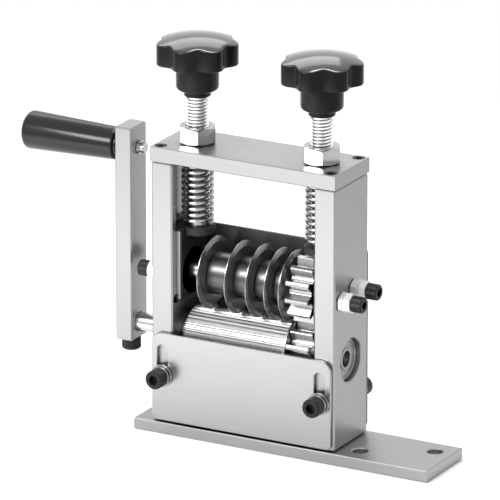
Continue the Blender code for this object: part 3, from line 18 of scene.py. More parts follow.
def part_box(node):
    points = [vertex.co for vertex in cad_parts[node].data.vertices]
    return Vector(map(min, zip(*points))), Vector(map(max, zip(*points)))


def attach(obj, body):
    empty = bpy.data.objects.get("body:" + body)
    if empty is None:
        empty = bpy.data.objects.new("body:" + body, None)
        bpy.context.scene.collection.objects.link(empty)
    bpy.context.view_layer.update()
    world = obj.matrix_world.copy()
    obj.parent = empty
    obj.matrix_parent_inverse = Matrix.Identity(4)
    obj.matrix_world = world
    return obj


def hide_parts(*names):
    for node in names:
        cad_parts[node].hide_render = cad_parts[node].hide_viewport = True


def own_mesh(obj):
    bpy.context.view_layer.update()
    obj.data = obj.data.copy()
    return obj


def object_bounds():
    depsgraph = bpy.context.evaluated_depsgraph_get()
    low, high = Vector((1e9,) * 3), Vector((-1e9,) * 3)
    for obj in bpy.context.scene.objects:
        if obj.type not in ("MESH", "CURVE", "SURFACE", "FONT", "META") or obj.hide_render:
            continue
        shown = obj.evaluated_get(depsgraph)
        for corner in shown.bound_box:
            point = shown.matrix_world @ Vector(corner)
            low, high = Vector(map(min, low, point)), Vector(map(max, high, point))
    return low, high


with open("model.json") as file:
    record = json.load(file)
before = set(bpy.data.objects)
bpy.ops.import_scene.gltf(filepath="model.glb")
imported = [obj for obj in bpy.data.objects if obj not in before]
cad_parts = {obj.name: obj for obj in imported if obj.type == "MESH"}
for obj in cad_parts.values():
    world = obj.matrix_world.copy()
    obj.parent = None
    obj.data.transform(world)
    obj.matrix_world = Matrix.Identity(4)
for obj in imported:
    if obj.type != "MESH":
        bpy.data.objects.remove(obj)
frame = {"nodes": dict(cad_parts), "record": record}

bl_info = {
    "name": "Hand Crank Wire Stripper",
    "version": (1, 0, 0),
    "blender": (4, 5, 0),
    "location": "View3D > Sidebar > Stripper",
    "description": "Dresses the packed frame of a hand crank wire stripper, piece by piece",
    "category": "Object",
}

CAD_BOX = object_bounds()
MM = 0.001

# Air that the frame leaves between pieces that touch, how far a cutter runs on, and the
# distance within which two points are one.
GAP = 0.3 * MM
OVERRUN = 3 * MM
WELD = 0.001 * MM

# Radii of the shafts in their bearings, and of the bores of the pieces that ride on them.
SHAFT = {"blade": 6 * MM, "left_drive": 5 * MM, "right_drive": 4 * MM}
BLADE_BORE = 6.15 * MM
HUB_BORE = 6.2 * MM

# Depth of the lip on a bearing block that carries the pressure screw's end.
LIP_DEPTH = 4 * MM

# Radii of a guide plate's screw and of the hole that it passes through.
GUIDE_SHANK = 3 * MM
GUIDE_CLEARANCE = 3.3 * MM

# The rear guide plate's own thickness, and the depth of the rings that hold it off.
REAR_THICKNESS = 1.5 * MM
REAR_STANDOFF = 1.8 * MM

# Radius of the bore that the grip and its washer turn on.
GRIP_BORE = 4.2 * MM

# Depth of the small marks of a thin form: a light chamfer, and the relief of a bump.
LIGHT_CHAMFER = 0.2 * MM
RELIEF = 0.02 * MM

# How often a machined surface's lines repeat along X, Y and Z, per metre, by the axis that
# they run along.
GRAIN = {"x": (14, 900, 900), "z": (900, 900, 14)}

# Light that the floor gives off, so that it is white while it keeps the tool's shadow.
FLOOR_LIFT = 0.1

# A guide hole's radius as a share of half its opening's width.
GUIDE_HOLE_SHARE = 1.485

# Takes a form's own +Z to the world's +X, with its XY plane as the world's YZ plane.
ALONG_X = Matrix(((0, 0, 1, 0), (1, 0, 0, 0), (0, 1, 0, 0), (0, 0, 0, 1)))

# Outward directions of the two sides of the frame.
SIDES = {"left": -1, "right": 1}


def length(name, description, millimetres):
    """A size that the user sets, in metres."""
    return FloatProperty(
        name=name, description=description, default=millimetres * MM, min=0, unit="LENGTH", precision=5
    )


def colour(name, description, value):
    """A grey or a colour that the user sets."""
    if isinstance(value, float):
        value = (value, value, value)
    return FloatVectorProperty(
        name=name, description=description, default=value, min=0, max=1, size=3, subtype="COLOR"
    )


def setting(name, description, default, **more):
    """A number of the studio that the user sets."""
    return FloatProperty(name=name, description=description, default=default, **more)


class StripperSizes(bpy.types.PropertyGroup):
    """Sizes of the details that the frame's solids leave plain."""

    plate_chamfer: length("Plate chamfer", "Bright chamfer round the side plates and blocks", 0.8)
    top_chamfer: length("Top plate chamfer", "The finer chamfer round the top plate and base", 0.4)
    fine_chamfer: length("Fine chamfer", "Chamfer on small turned pieces and sheet edges", 0.3)
    hole_chamfer: length("Hole chamfer", "Chamfer at the mouth of a drilled hole", 0.5)
    bench_hole: length("Bench hole radius", "Radius of the two holes in the base bar", 4)
    relief: length("Pocket relief radius", "Radius left by the cutter in the pocket's corners", 2.5)
    shaft_hole: length("Shaft hole radius", "Radius of the hole behind a drive bearing", 9)
    slot_rise: length("Slot rise", "How far a guide plate slot runs above its screw", 13.4)
    slot_drop: length("Slot drop", "How far a guide plate slot runs below its screw", 2.1)
    guide_head: length("Guide screw head radius", "Radius of the guide plates' screw heads", 5)
    guide_head_height: length("Guide screw head height", "Height of the same heads", 6)
    small_head: length("Adjusting screw head radius", "Radius of the side screws' heads", 4.2)
    small_head_height: length("Adjusting screw head height", "Height of the same heads", 6)
    knurls: IntProperty(name="Knurls", description="Grooves round a screw head", default=34, min=12)
    blade_grind: length("Blade grind", "How wide a blade's bevel is on each face", 2.9)
    blade_edge: length("Blade edge", "Thickness of a blade's cutting edge", 0.25)
    bearing_recess: length("Bearing recess", "Depth of the drive bearings below the plates' faces", 1)
    shaft_recess: length("Shaft recess", "How far the drive shaft ends inside its right bearing", 2.5)
    spacer: length("Spacer radius", "Radius of the drums between the blades", 11)
    gear_teeth: IntProperty(name="Gear teeth", description="Teeth on each gear", default=12, min=6)
    tooth_depth: length("Tooth depth", "From a gear's tip to its root", 5.1)
    tooth_tip: length("Tooth tip", "Width of a tooth at its tip", 2.4)
    tooth_root: length("Tooth root", "Width of a tooth at its root", 4.2)
    hub: length("Hub radius", "Radius of the roller's and the gears' hubs", 8.8)
    serrations: IntProperty(name="Serrations", description="Teeth round the roller", default=40)
    serration_depth: length("Serration depth", "Depth of the roller's serrations", 0.8)
    pitch: length("Thread pitch", "Pitch of the pressure screws", 1.75)
    thread_depth: length("Thread depth", "From a thread's crest to its root", 1.05)
    spindle: length("Spindle radius", "Radius of a screw's plain lower part", 5)
    spring_wire: length("Spring wire radius", "Radius of the wire of the springs", 1.1)
    spring_gap: length("Closed coil gap", "Air between the closed end coils", 0.5)
    spring_turns: FloatProperty(name="Spring turns", description="Turns in all", default=10.5)
    knob_lobes: IntProperty(name="Knob lobes", description="Lobes of a star knob", default=7)
    knob_lobe: length("Knob radius", "How far a knob's lobes reach", 21.2)
    knob_valley: length("Knob valley", "Depth of the valleys between the lobes", 3.2)
    knob_dome: length("Knob dome", "Rise of a knob's top from its lobes", 4)
    knob_head: length("Knob head", "Height of a lobe's wall", 10.8)
    knob_rounding: length("Knob rounding", "Rounding along the lobes' edges", 0.7)
    knob_hub: length("Knob hub radius", "Radius of the round hub under the lobes", 11)
    hub_rounding: length("Hub rounding", "Rounding at the hub's foot", 2.2)
    neck: length("Knob neck radius", "Radius of the neck at the knob's foot", 6.9)
    neck_height: length("Knob neck height", "Height of the neck", 3.1)
    grip_rounding: length("Grip rounding", "Rounding of the grip's outer end", 2.6)
    base_screw: length("Base screw head radius", "Radius of the heads under the base bar", 5.6)


class StripperColours(bpy.types.PropertyGroup):
    """Colours of the finishes, as they are seen in even white light."""

    aluminium: colour("Aluminium", "Machined plates and the crank arm", 0.335)
    sheet: colour("Steel sheet", "The two guide plates", 0.35)
    bright: colour("Bright steel", "Nuts, rods, gears and shafts", 0.55)
    gear: colour("Gear steel", "The two gears and the roller", 0.38)
    spring: colour("Spring steel", "The two coil springs", 0.42)
    blade: colour("Blade faces", "The flat faces of the blades", 0.3)
    spacer: colour("Spacers", "The drums between the blades", 0.1)
    ground: colour("Ground edge", "The blades' ground bevels", 0.42)
    block: colour("Bearing block", "The blackened faces of the sliding blocks", 0.02)
    oxide: colour("Black oxide", "Socket head screws", 0.01)
    plastic: colour("Black plastic", "Knobs and grip", 0.007)
    shield: colour("Bearing shield", "Steel shields of the drive bearings", 0.3)
    floor: colour("Floor", "Pale floor under the tool", 0.9)


class StripperStudio(bpy.types.PropertyGroup):
    """Camera and lamps."""

    azimuth: setting(
        "Azimuth", "Camera's turn to the right of the front", math.radians(28.615), subtype="ANGLE"
    )
    elevation: setting(
        "Elevation", "Camera's height above the floor", math.radians(18.25), subtype="ANGLE"
    )
    distance: setting("Distance", "Camera to target", 3.4402, unit="LENGTH")
    target: FloatVectorProperty(
        name="Target",
        description="Point at the picture's centre",
        default=(-0.005454, 0, 0.100166),
        subtype="TRANSLATION",
    )
    lens: setting("Lens", "Focal length on a 36 mm sensor, in millimetres", 485.6)
    fill: setting("Fill", "Even light from all round", 0.45, min=0)
    key: setting("Key", "Power of the main lamp, in watts", 4.3, min=0)
    top: setting("Top", "Power of the lamp overhead, in watts", 7.5, min=0)
    rear: setting("Rear", "Power of the lamp behind, in watts", 1.3, min=0)
    near: setting("Near", "How far the lit floor reaches", 0.4, unit="LENGTH")
    far: setting("Far", "Where the floor has faded to white", 0.75, unit="LENGTH")


def sizes():
    return bpy.context.scene.stripper_sizes


def colours():
    return bpy.context.scene.stripper_colours


# ---- Places in the frame


def span(node):
    """Lowest and highest corner of a node of the frame."""
    low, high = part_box(node)
    return Vector(low), Vector(high)


def middle(node):
    low, high = span(node)
    return (low + high) / 2


def rod_radius(side):
    """Radius of the threaded rod on one side."""
    low, high = span(side + "_pressure_screw")
    return (high.x - low.x) / 2


def opening(name):
    """Middle and half size of a stated opening of the frame."""
    for entry in frame["record"]["physics"]["openings"]:
        if entry["name"] == name:
            low, high = (Vector(corner) for corner in entry["box_m"])
            return (low + high) / 2, (high - low) / 2
    raise ValueError(f"the frame has no opening named {name}")


def along_x(axis_point, x=0.0):
    """A place on a shaft's axis, its own +Z along the world's +X."""
    return Matrix.Translation((x, axis_point.y, axis_point.z)) @ ALONG_X


def upright(x, y=0.0, z=0.0):
    """A place whose own +Z is the world's."""
    return Matrix.Translation((x, y, z))


def facing(point, direction):
    """A place whose own +Z looks along the direction."""
    turn = Vector(direction).to_track_quat("Z", "Y").to_matrix().to_4x4()
    return Matrix.Translation(point) @ turn


# ---- Forms


def lathe(profile, ring=False, segments=72):
    """A form turned about its own Z from (radius, height) pairs, run down its outer side from
    the top. A ring's profile closes on itself."""
    shape = bmesh.new()
    corners = [shape.verts.new((radius, 0, height)) for radius, height in profile]
    runs = list(zip(corners, corners[1:]))
    if ring:
        runs.append((corners[-1], corners[0]))
    edges = [shape.edges.new(run) for run in runs]
    bmesh.ops.spin(
        shape,
        geom=corners + edges,
        cent=(0, 0, 0),
        axis=(0, 0, 1),
        dvec=(0, 0, 0),
        angle=math.tau,
        steps=segments,
        use_merge=True,
        use_duplicate=False,
    )
    bmesh.ops.remove_doubles(shape, verts=shape.verts, dist=WELD)
    bmesh.ops.recalc_face_normals(shape, faces=shape.faces)
    if shape.calc_volume(signed=True) < 0:
        bmesh.ops.reverse_faces(shape, faces=shape.faces)
    return shape


def rod_profile(steps, edge):
    """The profile of a solid stepped rod from (radius, low, high), from the top down."""
    top_radius, _, top = steps[0]
    profile = [(0, top), (top_radius - edge, top), (top_radius, top - edge)]
    radius_before = top_radius
    for radius, low, high in steps:
        if radius != radius_before:
            profile.append((radius, high))
        profile.append((radius, low))
        radius_before = radius
    foot = steps[-1][1]
    profile[-1] = (radius_before, foot + edge)
    profile += [(radius_before - edge, foot), (0, foot)]
    return profile


def slab(low, high, edge=0.0):
    """A block between two corners, with a chamfer on every edge."""
    low, high = Vector(low), Vector(high)
    shape = bmesh.new()
    bmesh.ops.create_cube(shape, size=1)
    bmesh.ops.scale(shape, vec=high - low, verts=shape.verts)
    bmesh.ops.translate(shape, vec=(low + high) / 2, verts=shape.verts)
    if edge:
        soften(shape, shape.edges[:], edge)
    return shape


def soften(shape, edges, edge, steps=1):
    bmesh.ops.bevel(
        shape,
        geom=edges,
        offset=edge,
        offset_type="OFFSET",
        affect="EDGES",
        segments=steps,
        profile=0.5,
        material=-1,
        clamp_overlap=True,
    )


def prism(outline, low, high, edge=0.0):
    """An outline in the form's own XY plane, raised between two heights, its rims chamfered."""
    shape = bmesh.new()
    corners = [shape.verts.new((x, y, low)) for x, y in outline]
    bmesh.ops.contextual_create(shape, geom=corners)
    made = bmesh.ops.extrude_face_region(shape, geom=shape.faces[:])
    raised = [part for part in made["geom"] if isinstance(part, bmesh.types.BMVert)]
    bmesh.ops.translate(shape, vec=(0, 0, high - low), verts=raised)
    bmesh.ops.recalc_face_normals(shape, faces=shape.faces)
    if edge:
        rims = [line for line in shape.edges if abs(line.verts[0].co.z - line.verts[1].co.z) < edge]
        soften(shape, rims, edge)
    return shape


def polar(reach, angle):
    return reach * math.cos(angle), reach * math.sin(angle)


def circle(radius, count):
    return [polar(radius, math.tau * index / count) for index in range(count)]


def drill(radius, low, high, mouth):
    """A cutter for a through hole between two heights, with a chamfer at each mouth."""
    return lathe(
        [
            (0, high + OVERRUN),
            (radius + mouth + OVERRUN, high + OVERRUN),
            (radius, high - mouth),
            (radius, low + mouth),
            (radius + mouth + OVERRUN, low - OVERRUN),
            (0, low - OVERRUN),
        ],
        segments=48,
    )


def plug(radius, low, high, segments=48):
    """A plain round cutter."""
    return lathe([(0, high), (radius, high), (radius, low), (0, low)], segments=segments)


def placed(shape, place):
    shape.transform(place)
    return shape


def turned_ring(place, bore, radius, low, high, edge, segments=72):
    """A ring in its place, with chamfered outer and inner corners."""
    profile = [
        (bore + edge, high),
        (radius - edge, high),
        (radius, high - edge),
        (radius, low + edge),
        (radius - edge, low),
        (bore + edge, low),
        (bore, low + edge),
        (bore, high - edge),
    ]
    return placed(lathe(profile, ring=True, segments=segments), place)


def capped(shape):
    """A wound form with its two open ends filled."""
    bmesh.ops.holes_fill(shape, edges=[line for line in shape.edges if line.is_boundary], sides=0)
    bmesh.ops.recalc_face_normals(shape, faces=shape.faces)
    return shape


def set_aside(shape):
    mesh = bpy.data.meshes.new("cutter")
    shape.to_mesh(mesh)
    shape.free()
    held = bpy.data.objects.new("cutter", mesh)
    bpy.context.scene.collection.objects.link(held)
    return held


def combined(shape, others, operation="DIFFERENCE"):
    """The shape with the others cut out of it, joined to it or met with it, one by one."""
    body = set_aside(shape)
    tools = [set_aside(other) for other in others]
    for tool in tools:
        step = body.modifiers.new("step", "BOOLEAN")
        step.operation = operation
        step.solver = "EXACT"
        step.object = tool
    bpy.context.view_layer.update()
    graph = bpy.context.evaluated_depsgraph_get()
    mesh = bpy.data.meshes.new_from_object(body.evaluated_get(graph))
    for held in [body] + tools:
        bpy.data.objects.remove(held)
    result = bmesh.new()
    result.from_mesh(mesh)
    bpy.data.meshes.remove(mesh)
    bmesh.ops.remove_doubles(result, verts=result.verts, dist=WELD)
    bmesh.ops.dissolve_degenerate(result, dist=WELD, edges=result.edges)
    return result


def joined(shapes):
    """Separate forms as the loose parts of one piece."""
    whole = bmesh.new()
    for shape in shapes:
        mesh = bpy.data.meshes.new("part")
        shape.to_mesh(mesh)
        shape.free()
        whole.from_mesh(mesh)
        bpy.data.meshes.remove(mesh)
    return whole


def finish_piece(name, shape, finish, body, nodes=(), smooth=30):
    """The form as a piece of its own: finished, riding on its body, in place of its nodes."""
    mesh = bpy.data.meshes.new(name)
    shape.to_mesh(mesh)
    shape.free()
    mesh.materials.append(finish)
    mesh.shade_smooth()
    mesh.set_sharp_from_angle(angle=math.radians(smooth))
    piece = bpy.data.objects.new(name, mesh)
    bpy.context.scene.collection.objects.link(piece)
    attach(piece, body)
    if nodes:
        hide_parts(*nodes)
    return piece


# ---- Finishes


def connect(tree, socket, value):
    if isinstance(value, Signal):
        tree.links.new(value.socket, socket)
    elif value is not None:
        socket.default_value = value


def math_operator(operation, swapped=False):
    """A Python operator of a Signal, with the Signal on its left, or swapped on its right."""

    def apply(signal, other):
        first, second = (other, signal) if swapped else (signal, other)
        return signal.maths(operation, first, second)

    return apply


class Signal:
    """A socket of a node tree that Python's own operators add Math nodes to."""

    def __init__(self, tree, socket):
        self.tree = tree
        self.socket = socket

    def maths(self, operation, first, second, clamped=False):
        node = self.tree.nodes.new("ShaderNodeMath")
        node.operation = operation
        node.use_clamp = clamped
        connect(self.tree, node.inputs[0], first)
        connect(self.tree, node.inputs[1], second)
        return Signal(self.tree, node.outputs[0])

    __add__ = math_operator("ADD")
    __radd__ = math_operator("ADD", swapped=True)
    __sub__ = math_operator("SUBTRACT")
    __rsub__ = math_operator("SUBTRACT", swapped=True)
    __mul__ = math_operator("MULTIPLY")
    __truediv__ = math_operator("DIVIDE")

    def clamped(self):
        return self.maths("ADD", self, 0.0, clamped=True)


class Recipe:
    """A node tree for one finish or for the studio's surroundings."""

    def __init__(self, tree):
        self.tree = tree

    def node(self, kind, settings=None, inputs=None, output=0):
        """A node of a type, its settings made first, then its sockets' values or links."""
        node = self.tree.nodes.new("ShaderNode" + kind)
        for name, value in (settings or {}).items():
            setattr(node, name, value)
        for name, value in (inputs or {}).items():
            connect(self.tree, node.inputs[name], value)
        return Signal(self.tree, node.outputs[output])

    def spots(self, stretch=(1, 1, 1), centre=(0, 0, 0)):
        """Object coordinates about a centre, stretched along each axis."""
        here = self.node("TexCoord", output="Object")
        shifted = self.node("VectorMath", {"operation": "SUBTRACT"}, {0: here, 1: centre})
        return self.node("VectorMath", {"operation": "MULTIPLY"}, {0: shifted, 1: stretch})

    def noise(self, scale, stretch=(1, 1, 1), detail=2.0):
        """Noise from 0 to 1, its grains 1/scale metres wide."""
        inputs = {"Vector": self.spots(stretch), "Scale": scale, "Detail": detail, "Roughness": 0.55}
        return self.node("TexNoise", inputs=inputs)

    def ramp(self, value, low, high):
        """0 below the low value and 1 above the high one, or the other way round."""
        settings = {"clamp": True, "interpolation_type": "SMOOTHSTEP"}
        return self.node("MapRange", settings, {0: value, 1: low, 2: high, 3: 0.0, 4: 1.0})

    def tint(self, factor, low, high):
        """A colour between two, each a colour or a link."""
        node = self.tree.nodes.new("ShaderNodeMix")
        node.data_type = "RGBA"
        connect(self.tree, node.inputs["Factor"], factor)
        for name, value in (("A", low), ("B", high)):
            socket = [entry for entry in node.inputs if entry.name == name and entry.type == "RGBA"][0]
            connect(self.tree, socket, value if isinstance(value, Signal) else (*value, 1))
        result = [entry for entry in node.outputs if entry.type == "RGBA"][0]
        return Signal(self.tree, result)

    def bump(self, height, distance, strength):
        inputs = {"Height": height, "Distance": distance, "Strength": strength}
        return self.node("Bump", inputs=inputs)

    def rod_distance(self):
        """How far a point is from the axis of the pressure screw on its own side."""
        place = middle("right_pressure_screw").x
        folded = self.node("VectorMath", {"operation": "ABSOLUTE"}, {0: self.spots()})
        shifted = self.node("VectorMath", {"operation": "SUBTRACT"}, {0: folded, 1: (place, 0, 0)})
        flat = self.node("VectorMath", {"operation": "MULTIPLY"}, {0: shifted, 1: (1, 1, 0)})
        return self.node("VectorMath", {"operation": "LENGTH"}, {0: flat}, output="Value")

    def axis_distance(self, centre):
        """How far a point is from an axis along X through the centre."""
        flat = self.spots((0, 1, 1), centre)
        return self.node("VectorMath", {"operation": "LENGTH"}, {0: flat}, output="Value")


def new_finish(name, base, roughness, metallic, **constants):
    """A new material, its recipe and its shader."""
    material = bpy.data.materials.new(name)
    material.use_nodes = True
    shader = material.node_tree.nodes["Principled BSDF"]
    shader.inputs["Base Color"].default_value = (*base, 1)
    shader.inputs["Roughness"].default_value = roughness
    shader.inputs["Metallic"].default_value = metallic
    for socket, value in constants.items():
        shader.inputs[socket.replace("_", " ")].default_value = value
    return material, Recipe(material.node_tree), shader


def feed(recipe, shader, **links):
    """Links or values for the shader's sockets, an underscore standing for a space."""
    for socket, value in links.items():
        connect(recipe.tree, shader.inputs[socket.replace("_", " ")], value)


def shade(base, factor):
    """A colour made darker or lighter, and no lighter than white."""
    return tuple(min(value * factor, 1) for value in base)


def machined(name, base, grain, roughness):
    """Machined metal: fine lines along one axis, a cloudy sheen and a few light rubs. The
    grain holds how often the lines repeat along each axis, per metre."""
    if name in bpy.data.materials:
        return bpy.data.materials[name]
    material, recipe, shader = new_finish(name, base, roughness, 1.0)
    lines = recipe.noise(1, grain, 3)
    clouds = recipe.noise(26, detail=3)
    rubs = recipe.ramp(recipe.noise(1, tuple(value * 0.22 for value in grain), 1), 0.62, 0.8)
    mix = recipe.tint((lines * 0.6 + clouds * 0.4).clamped(), shade(base, 0.9), shade(base, 1.1))
    feed(
        recipe,
        shader,
        Base_Color=mix,
        Roughness=(roughness - 0.07) + lines * 0.1 + clouds * 0.08 - rubs * 0.05,
        Normal=recipe.bump(lines, RELIEF, 0.35),
    )
    return material


def turned_steel(name, base, roughness=0.16, metallic=1.0):
    """Bright turned or plated steel, with a soft cloudy sheen and fine pits."""
    if name in bpy.data.materials:
        return bpy.data.materials[name]
    material, recipe, shader = new_finish(name, base, roughness, metallic)
    clouds = recipe.noise(60, detail=3)
    pits = recipe.ramp(recipe.noise(900, detail=2), 0.66, 0.8)
    feed(
        recipe,
        shader,
        Base_Color=recipe.tint((clouds + pits * 0.5).clamped(), shade(base, 1.08), shade(base, 0.82)),
        Roughness=(roughness - 0.04) + clouds * 0.1 + pits * 0.12,
        Normal=recipe.bump(pits, RELIEF / 2, 0.3),
    )
    return material


def blade_steel():
    """Dark blade faces that end in a bright ground bevel, with rings left by the grinding."""
    name = "blade steel"
    if name in bpy.data.materials:
        return bpy.data.materials[name]
    face, ground = colours().blade, colours().ground
    material, recipe, shader = new_finish(name, face, 0.3, 1)
    axis = middle("blade_shaft")
    low, high = span("blade_1")
    rim = (high.z - low.z) / 2
    reach = recipe.axis_distance((0, axis.y, axis.z))
    shoulder = rim - sizes().blade_grind
    bevel = recipe.ramp(reach, shoulder, shoulder + 0.3 * MM)
    rings = recipe.node("Math", {"operation": "SINE"}, {0: reach * (math.tau / (0.35 * MM))})
    clouds = recipe.noise(70, detail=3)
    dark = recipe.tint(clouds, shade(face, 0.75), shade(face, 1.35))
    feed(
        recipe,
        shader,
        Base_Color=recipe.tint(bevel, dark, tuple(ground)),
        Roughness=0.3 + rings * 0.04 + clouds * 0.1 - bevel * 0.12,
        Normal=recipe.bump(rings, RELIEF, 0.5),
    )
    return material


def block_steel():
    """Blackened blocks whose front and back faces, which slide in the pocket, are coloured bright metal:
    partly a ground finish, partly a painted highlight.
    """
    base = colours().block
    material, recipe, shader = new_finish("block steel", base, 0.5, 0.0, Specular_IOR_Level=0.2)
    high = span("left_bearing_block")[1]
    across = recipe.node("SeparateXYZ", inputs={"Vector": recipe.spots()}, output="Y")
    away = recipe.node("Math", {"operation": "ABSOLUTE"}, {0: across})
    # Painted highlight, partly a ground finish: the faces at the block's front and back get bright metal
    # colour, as if they catch the light.
    ground = recipe.ramp(away, high.y - 0.3 * MM, high.y - 0.1 * MM)
    lines = recipe.noise(1, (900, 900, 30), 3)
    clouds = recipe.noise(60, detail=3)
    dark = recipe.tint(clouds, shade(base, 0.6), shade(base, 1.6))
    feed(
        recipe,
        shader,
        Base_Color=recipe.tint(ground, dark, tuple(colours().aluminium)),
        Metallic=ground,
        Roughness=0.42 + clouds * 0.16 - ground * 0.2,
        Normal=recipe.bump(lines, RELIEF, 0.3),
    )
    return material


def rod_steel():
    """Bright threaded rods, their thread roots darkened with painted shade."""
    base = colours().bright
    material, recipe, shader = new_finish("rod steel", base, 0.2, 1)
    root = rod_radius("right") - sizes().thread_depth
    # Painted shade: the roots between the thread crests are darkened where shade falls.
    root_shade = recipe.ramp(recipe.rod_distance(), root + 0.3 * MM, root)
    clouds = recipe.noise(90, detail=3)
    feed(
        recipe,
        shader,
        Base_Color=recipe.tint(root_shade, shade(base, 1.8), shade(base, 0.35)),
        Roughness=0.18 + clouds * 0.1 + root_shade * 0.15,
    )
    return material


def black_oxide():
    """Blackened steel, slightly worn to grey in patches."""
    name = "black oxide"
    if name in bpy.data.materials:
        return bpy.data.materials[name]
    base = colours().oxide
    material, recipe, shader = new_finish(name, base, 0.36, 0.0, Specular_IOR_Level=0.22)
    wear = recipe.ramp(recipe.noise(420, detail=4), 0.52, 0.78)
    clouds = recipe.noise(150, detail=2)
    feed(
        recipe,
        shader,
        Base_Color=recipe.tint(wear * 0.5, tuple(base), shade(base, 3.2)),
        Roughness=0.3 + clouds * 0.16,
        Normal=recipe.bump(clouds, RELIEF, 0.2),
    )
    return material


def moulded(name, roughness, gloss, coat_share=None):
    """Black moulded plastic, with a faint orange peel and a cloudy gloss."""
    if name in bpy.data.materials:
        return bpy.data.materials[name]
    base = colours().plastic
    constants = {"Coat_Roughness": 0.1, "Specular_IOR_Level": gloss}
    material, recipe, shader = new_finish(name, base, roughness, 0.0, **constants)
    if coat_share:
        feed(recipe, shader, Coat_Weight=coat_share(recipe))
    peel = recipe.noise(330, detail=1)
    clouds = recipe.noise(45, detail=3)
    feed(
        recipe,
        shader,
        Base_Color=recipe.tint(clouds, shade(base, 0.8), shade(base, 1.6)),
        Roughness=(roughness - 0.04) + clouds * 0.1,
        Normal=recipe.bump(peel, 0.05 * MM, 0.12),
    )
    return material


def plate_metal(axis):
    """The aluminium of the plates, its lines running along X or Z."""
    return machined(f"aluminium along {axis}", colours().aluminium, GRAIN[axis], 0.32)


def bright_steel():
    return turned_steel("bright steel", colours().bright)


def zinc_plate():
    return turned_steel("zinc plate", shade(colours().bright, 1.6), 0.36, 0.5)


# ---- Fasteners


def hexagon_socket(across, depth, top):
    """A cutter for a screw's hexagon socket."""
    return prism(circle(across / math.sqrt(3), 6), top - depth, top + OVERRUN)


def cap_screw(radius, height, shank, depth):
    """A socket head screw along its own Z, its head standing on height zero: knurled side,
    chamfered top, hexagon socket and plain shank."""
    count = sizes().knurls
    knurl = radius * 0.03
    edge = radius * 0.14
    outline = []
    for index in range(2 * count):
        reach = radius - knurl * (index % 2)
        angle = math.pi * index / count
        outline.append(polar(reach, angle))
    head = prism(outline, 0, height)
    rim = radius - edge
    form = lathe(
        [
            (0, height),
            (rim, height),
            (radius + knurl, height - edge - knurl),
            (radius + knurl, 0),
            (0, 0),
        ],
        segments=48,
    )
    head = combined(head, [form], "INTERSECT")
    head = combined(head, [hexagon_socket(radius, height * 0.55, height)])
    return joined([head, plug(shank, -depth, GAP / 2, 32)])


def flat_head_screw(radius, shank, depth):
    """A countersunk screw along its own Z, its flat head at height zero."""
    edge = radius * 0.08
    cone = radius - shank
    body = lathe(
        [
            (0, 0),
            (radius - edge, 0),
            (radius, -edge),
            (shank, -edge - cone),
            (shank, -depth),
            (0, -depth),
        ],
        segments=48,
    )
    return combined(body, [hexagon_socket(radius * 1.05, cone * 0.9, 0)])


def hexagon_nut(across, bore, height):
    """A nut along its own Z, standing on height zero: corners cut by a cone, chamfered bore."""
    corner = across / math.sqrt(3)
    slope = math.tan(math.radians(30))
    face = across / 2 * 0.97
    drop = (corner + GAP - face) * slope
    mouth = min(sizes().hole_chamfer, height / 5)
    point = face - GAP / slope
    form = lathe(
        [
            (0, height + GAP),
            (point, height + GAP),
            (corner + GAP, height - drop),
            (corner + GAP, drop),
            (point, -GAP),
            (0, -GAP),
        ]
    )
    form = placed(form, Matrix.Rotation(math.radians(1.3), 4, "Z"))
    body = combined(prism(circle(corner, 6), 0, height), [form], "INTERSECT")
    return combined(body, [drill(bore, 0, height, mouth)])


# ---- Operators


class STRIPPER_OT_base_bar(bpy.types.Operator):
    """Base bar with its two bench holes and the screw seats underneath"""

    bl_idname = "stripper.base_bar"
    bl_label = "Base bar"

    def execute(self, context):
        low, high = span("base_plate")
        size = sizes()
        cutters = []
        for name in ("outer_bench_hole", "inner_bench_hole"):
            centre, _ = opening(name)
            place = upright(centre.x, centre.y)
            cutters.append(placed(drill(size.bench_hole, low.z, high.z, size.hole_chamfer), place))
        seats = []
        screws = []
        depth = 3 * MM
        for place in base_screw_places():
            seat = lathe(
                [
                    (0, OVERRUN),
                    (size.base_screw + OVERRUN, OVERRUN),
                    (size.base_screw - depth, -depth),
                    (0, -depth),
                ],
                segments=48,
            )
            seats.append(placed(seat, place))
            sunk = place @ Matrix.Translation((0, 0, -GAP))
            screw = flat_head_screw(size.base_screw - GAP, size.base_screw - depth - GAP, 5 * MM)
            screws.append(placed(screw, sunk))
        bar = combined(slab(low, high, size.top_chamfer), cutters + seats)
        finish_piece("base_bar", bar, plate_metal("x"), "frame", ["base_plate"])
        finish_piece("base_bar_screws", joined(screws), black_oxide(), "frame")
        return {"FINISHED"}


def base_screw_places():
    """Where two screws come up through the base bar into each side plate, looking down."""
    places = []
    for side in SIDES:
        plate = middle(side + "_side_plate")
        for y in (-10 * MM, 10 * MM):
            places.append(facing((plate.x, y, 0), (0, 0, -1)))
    return places


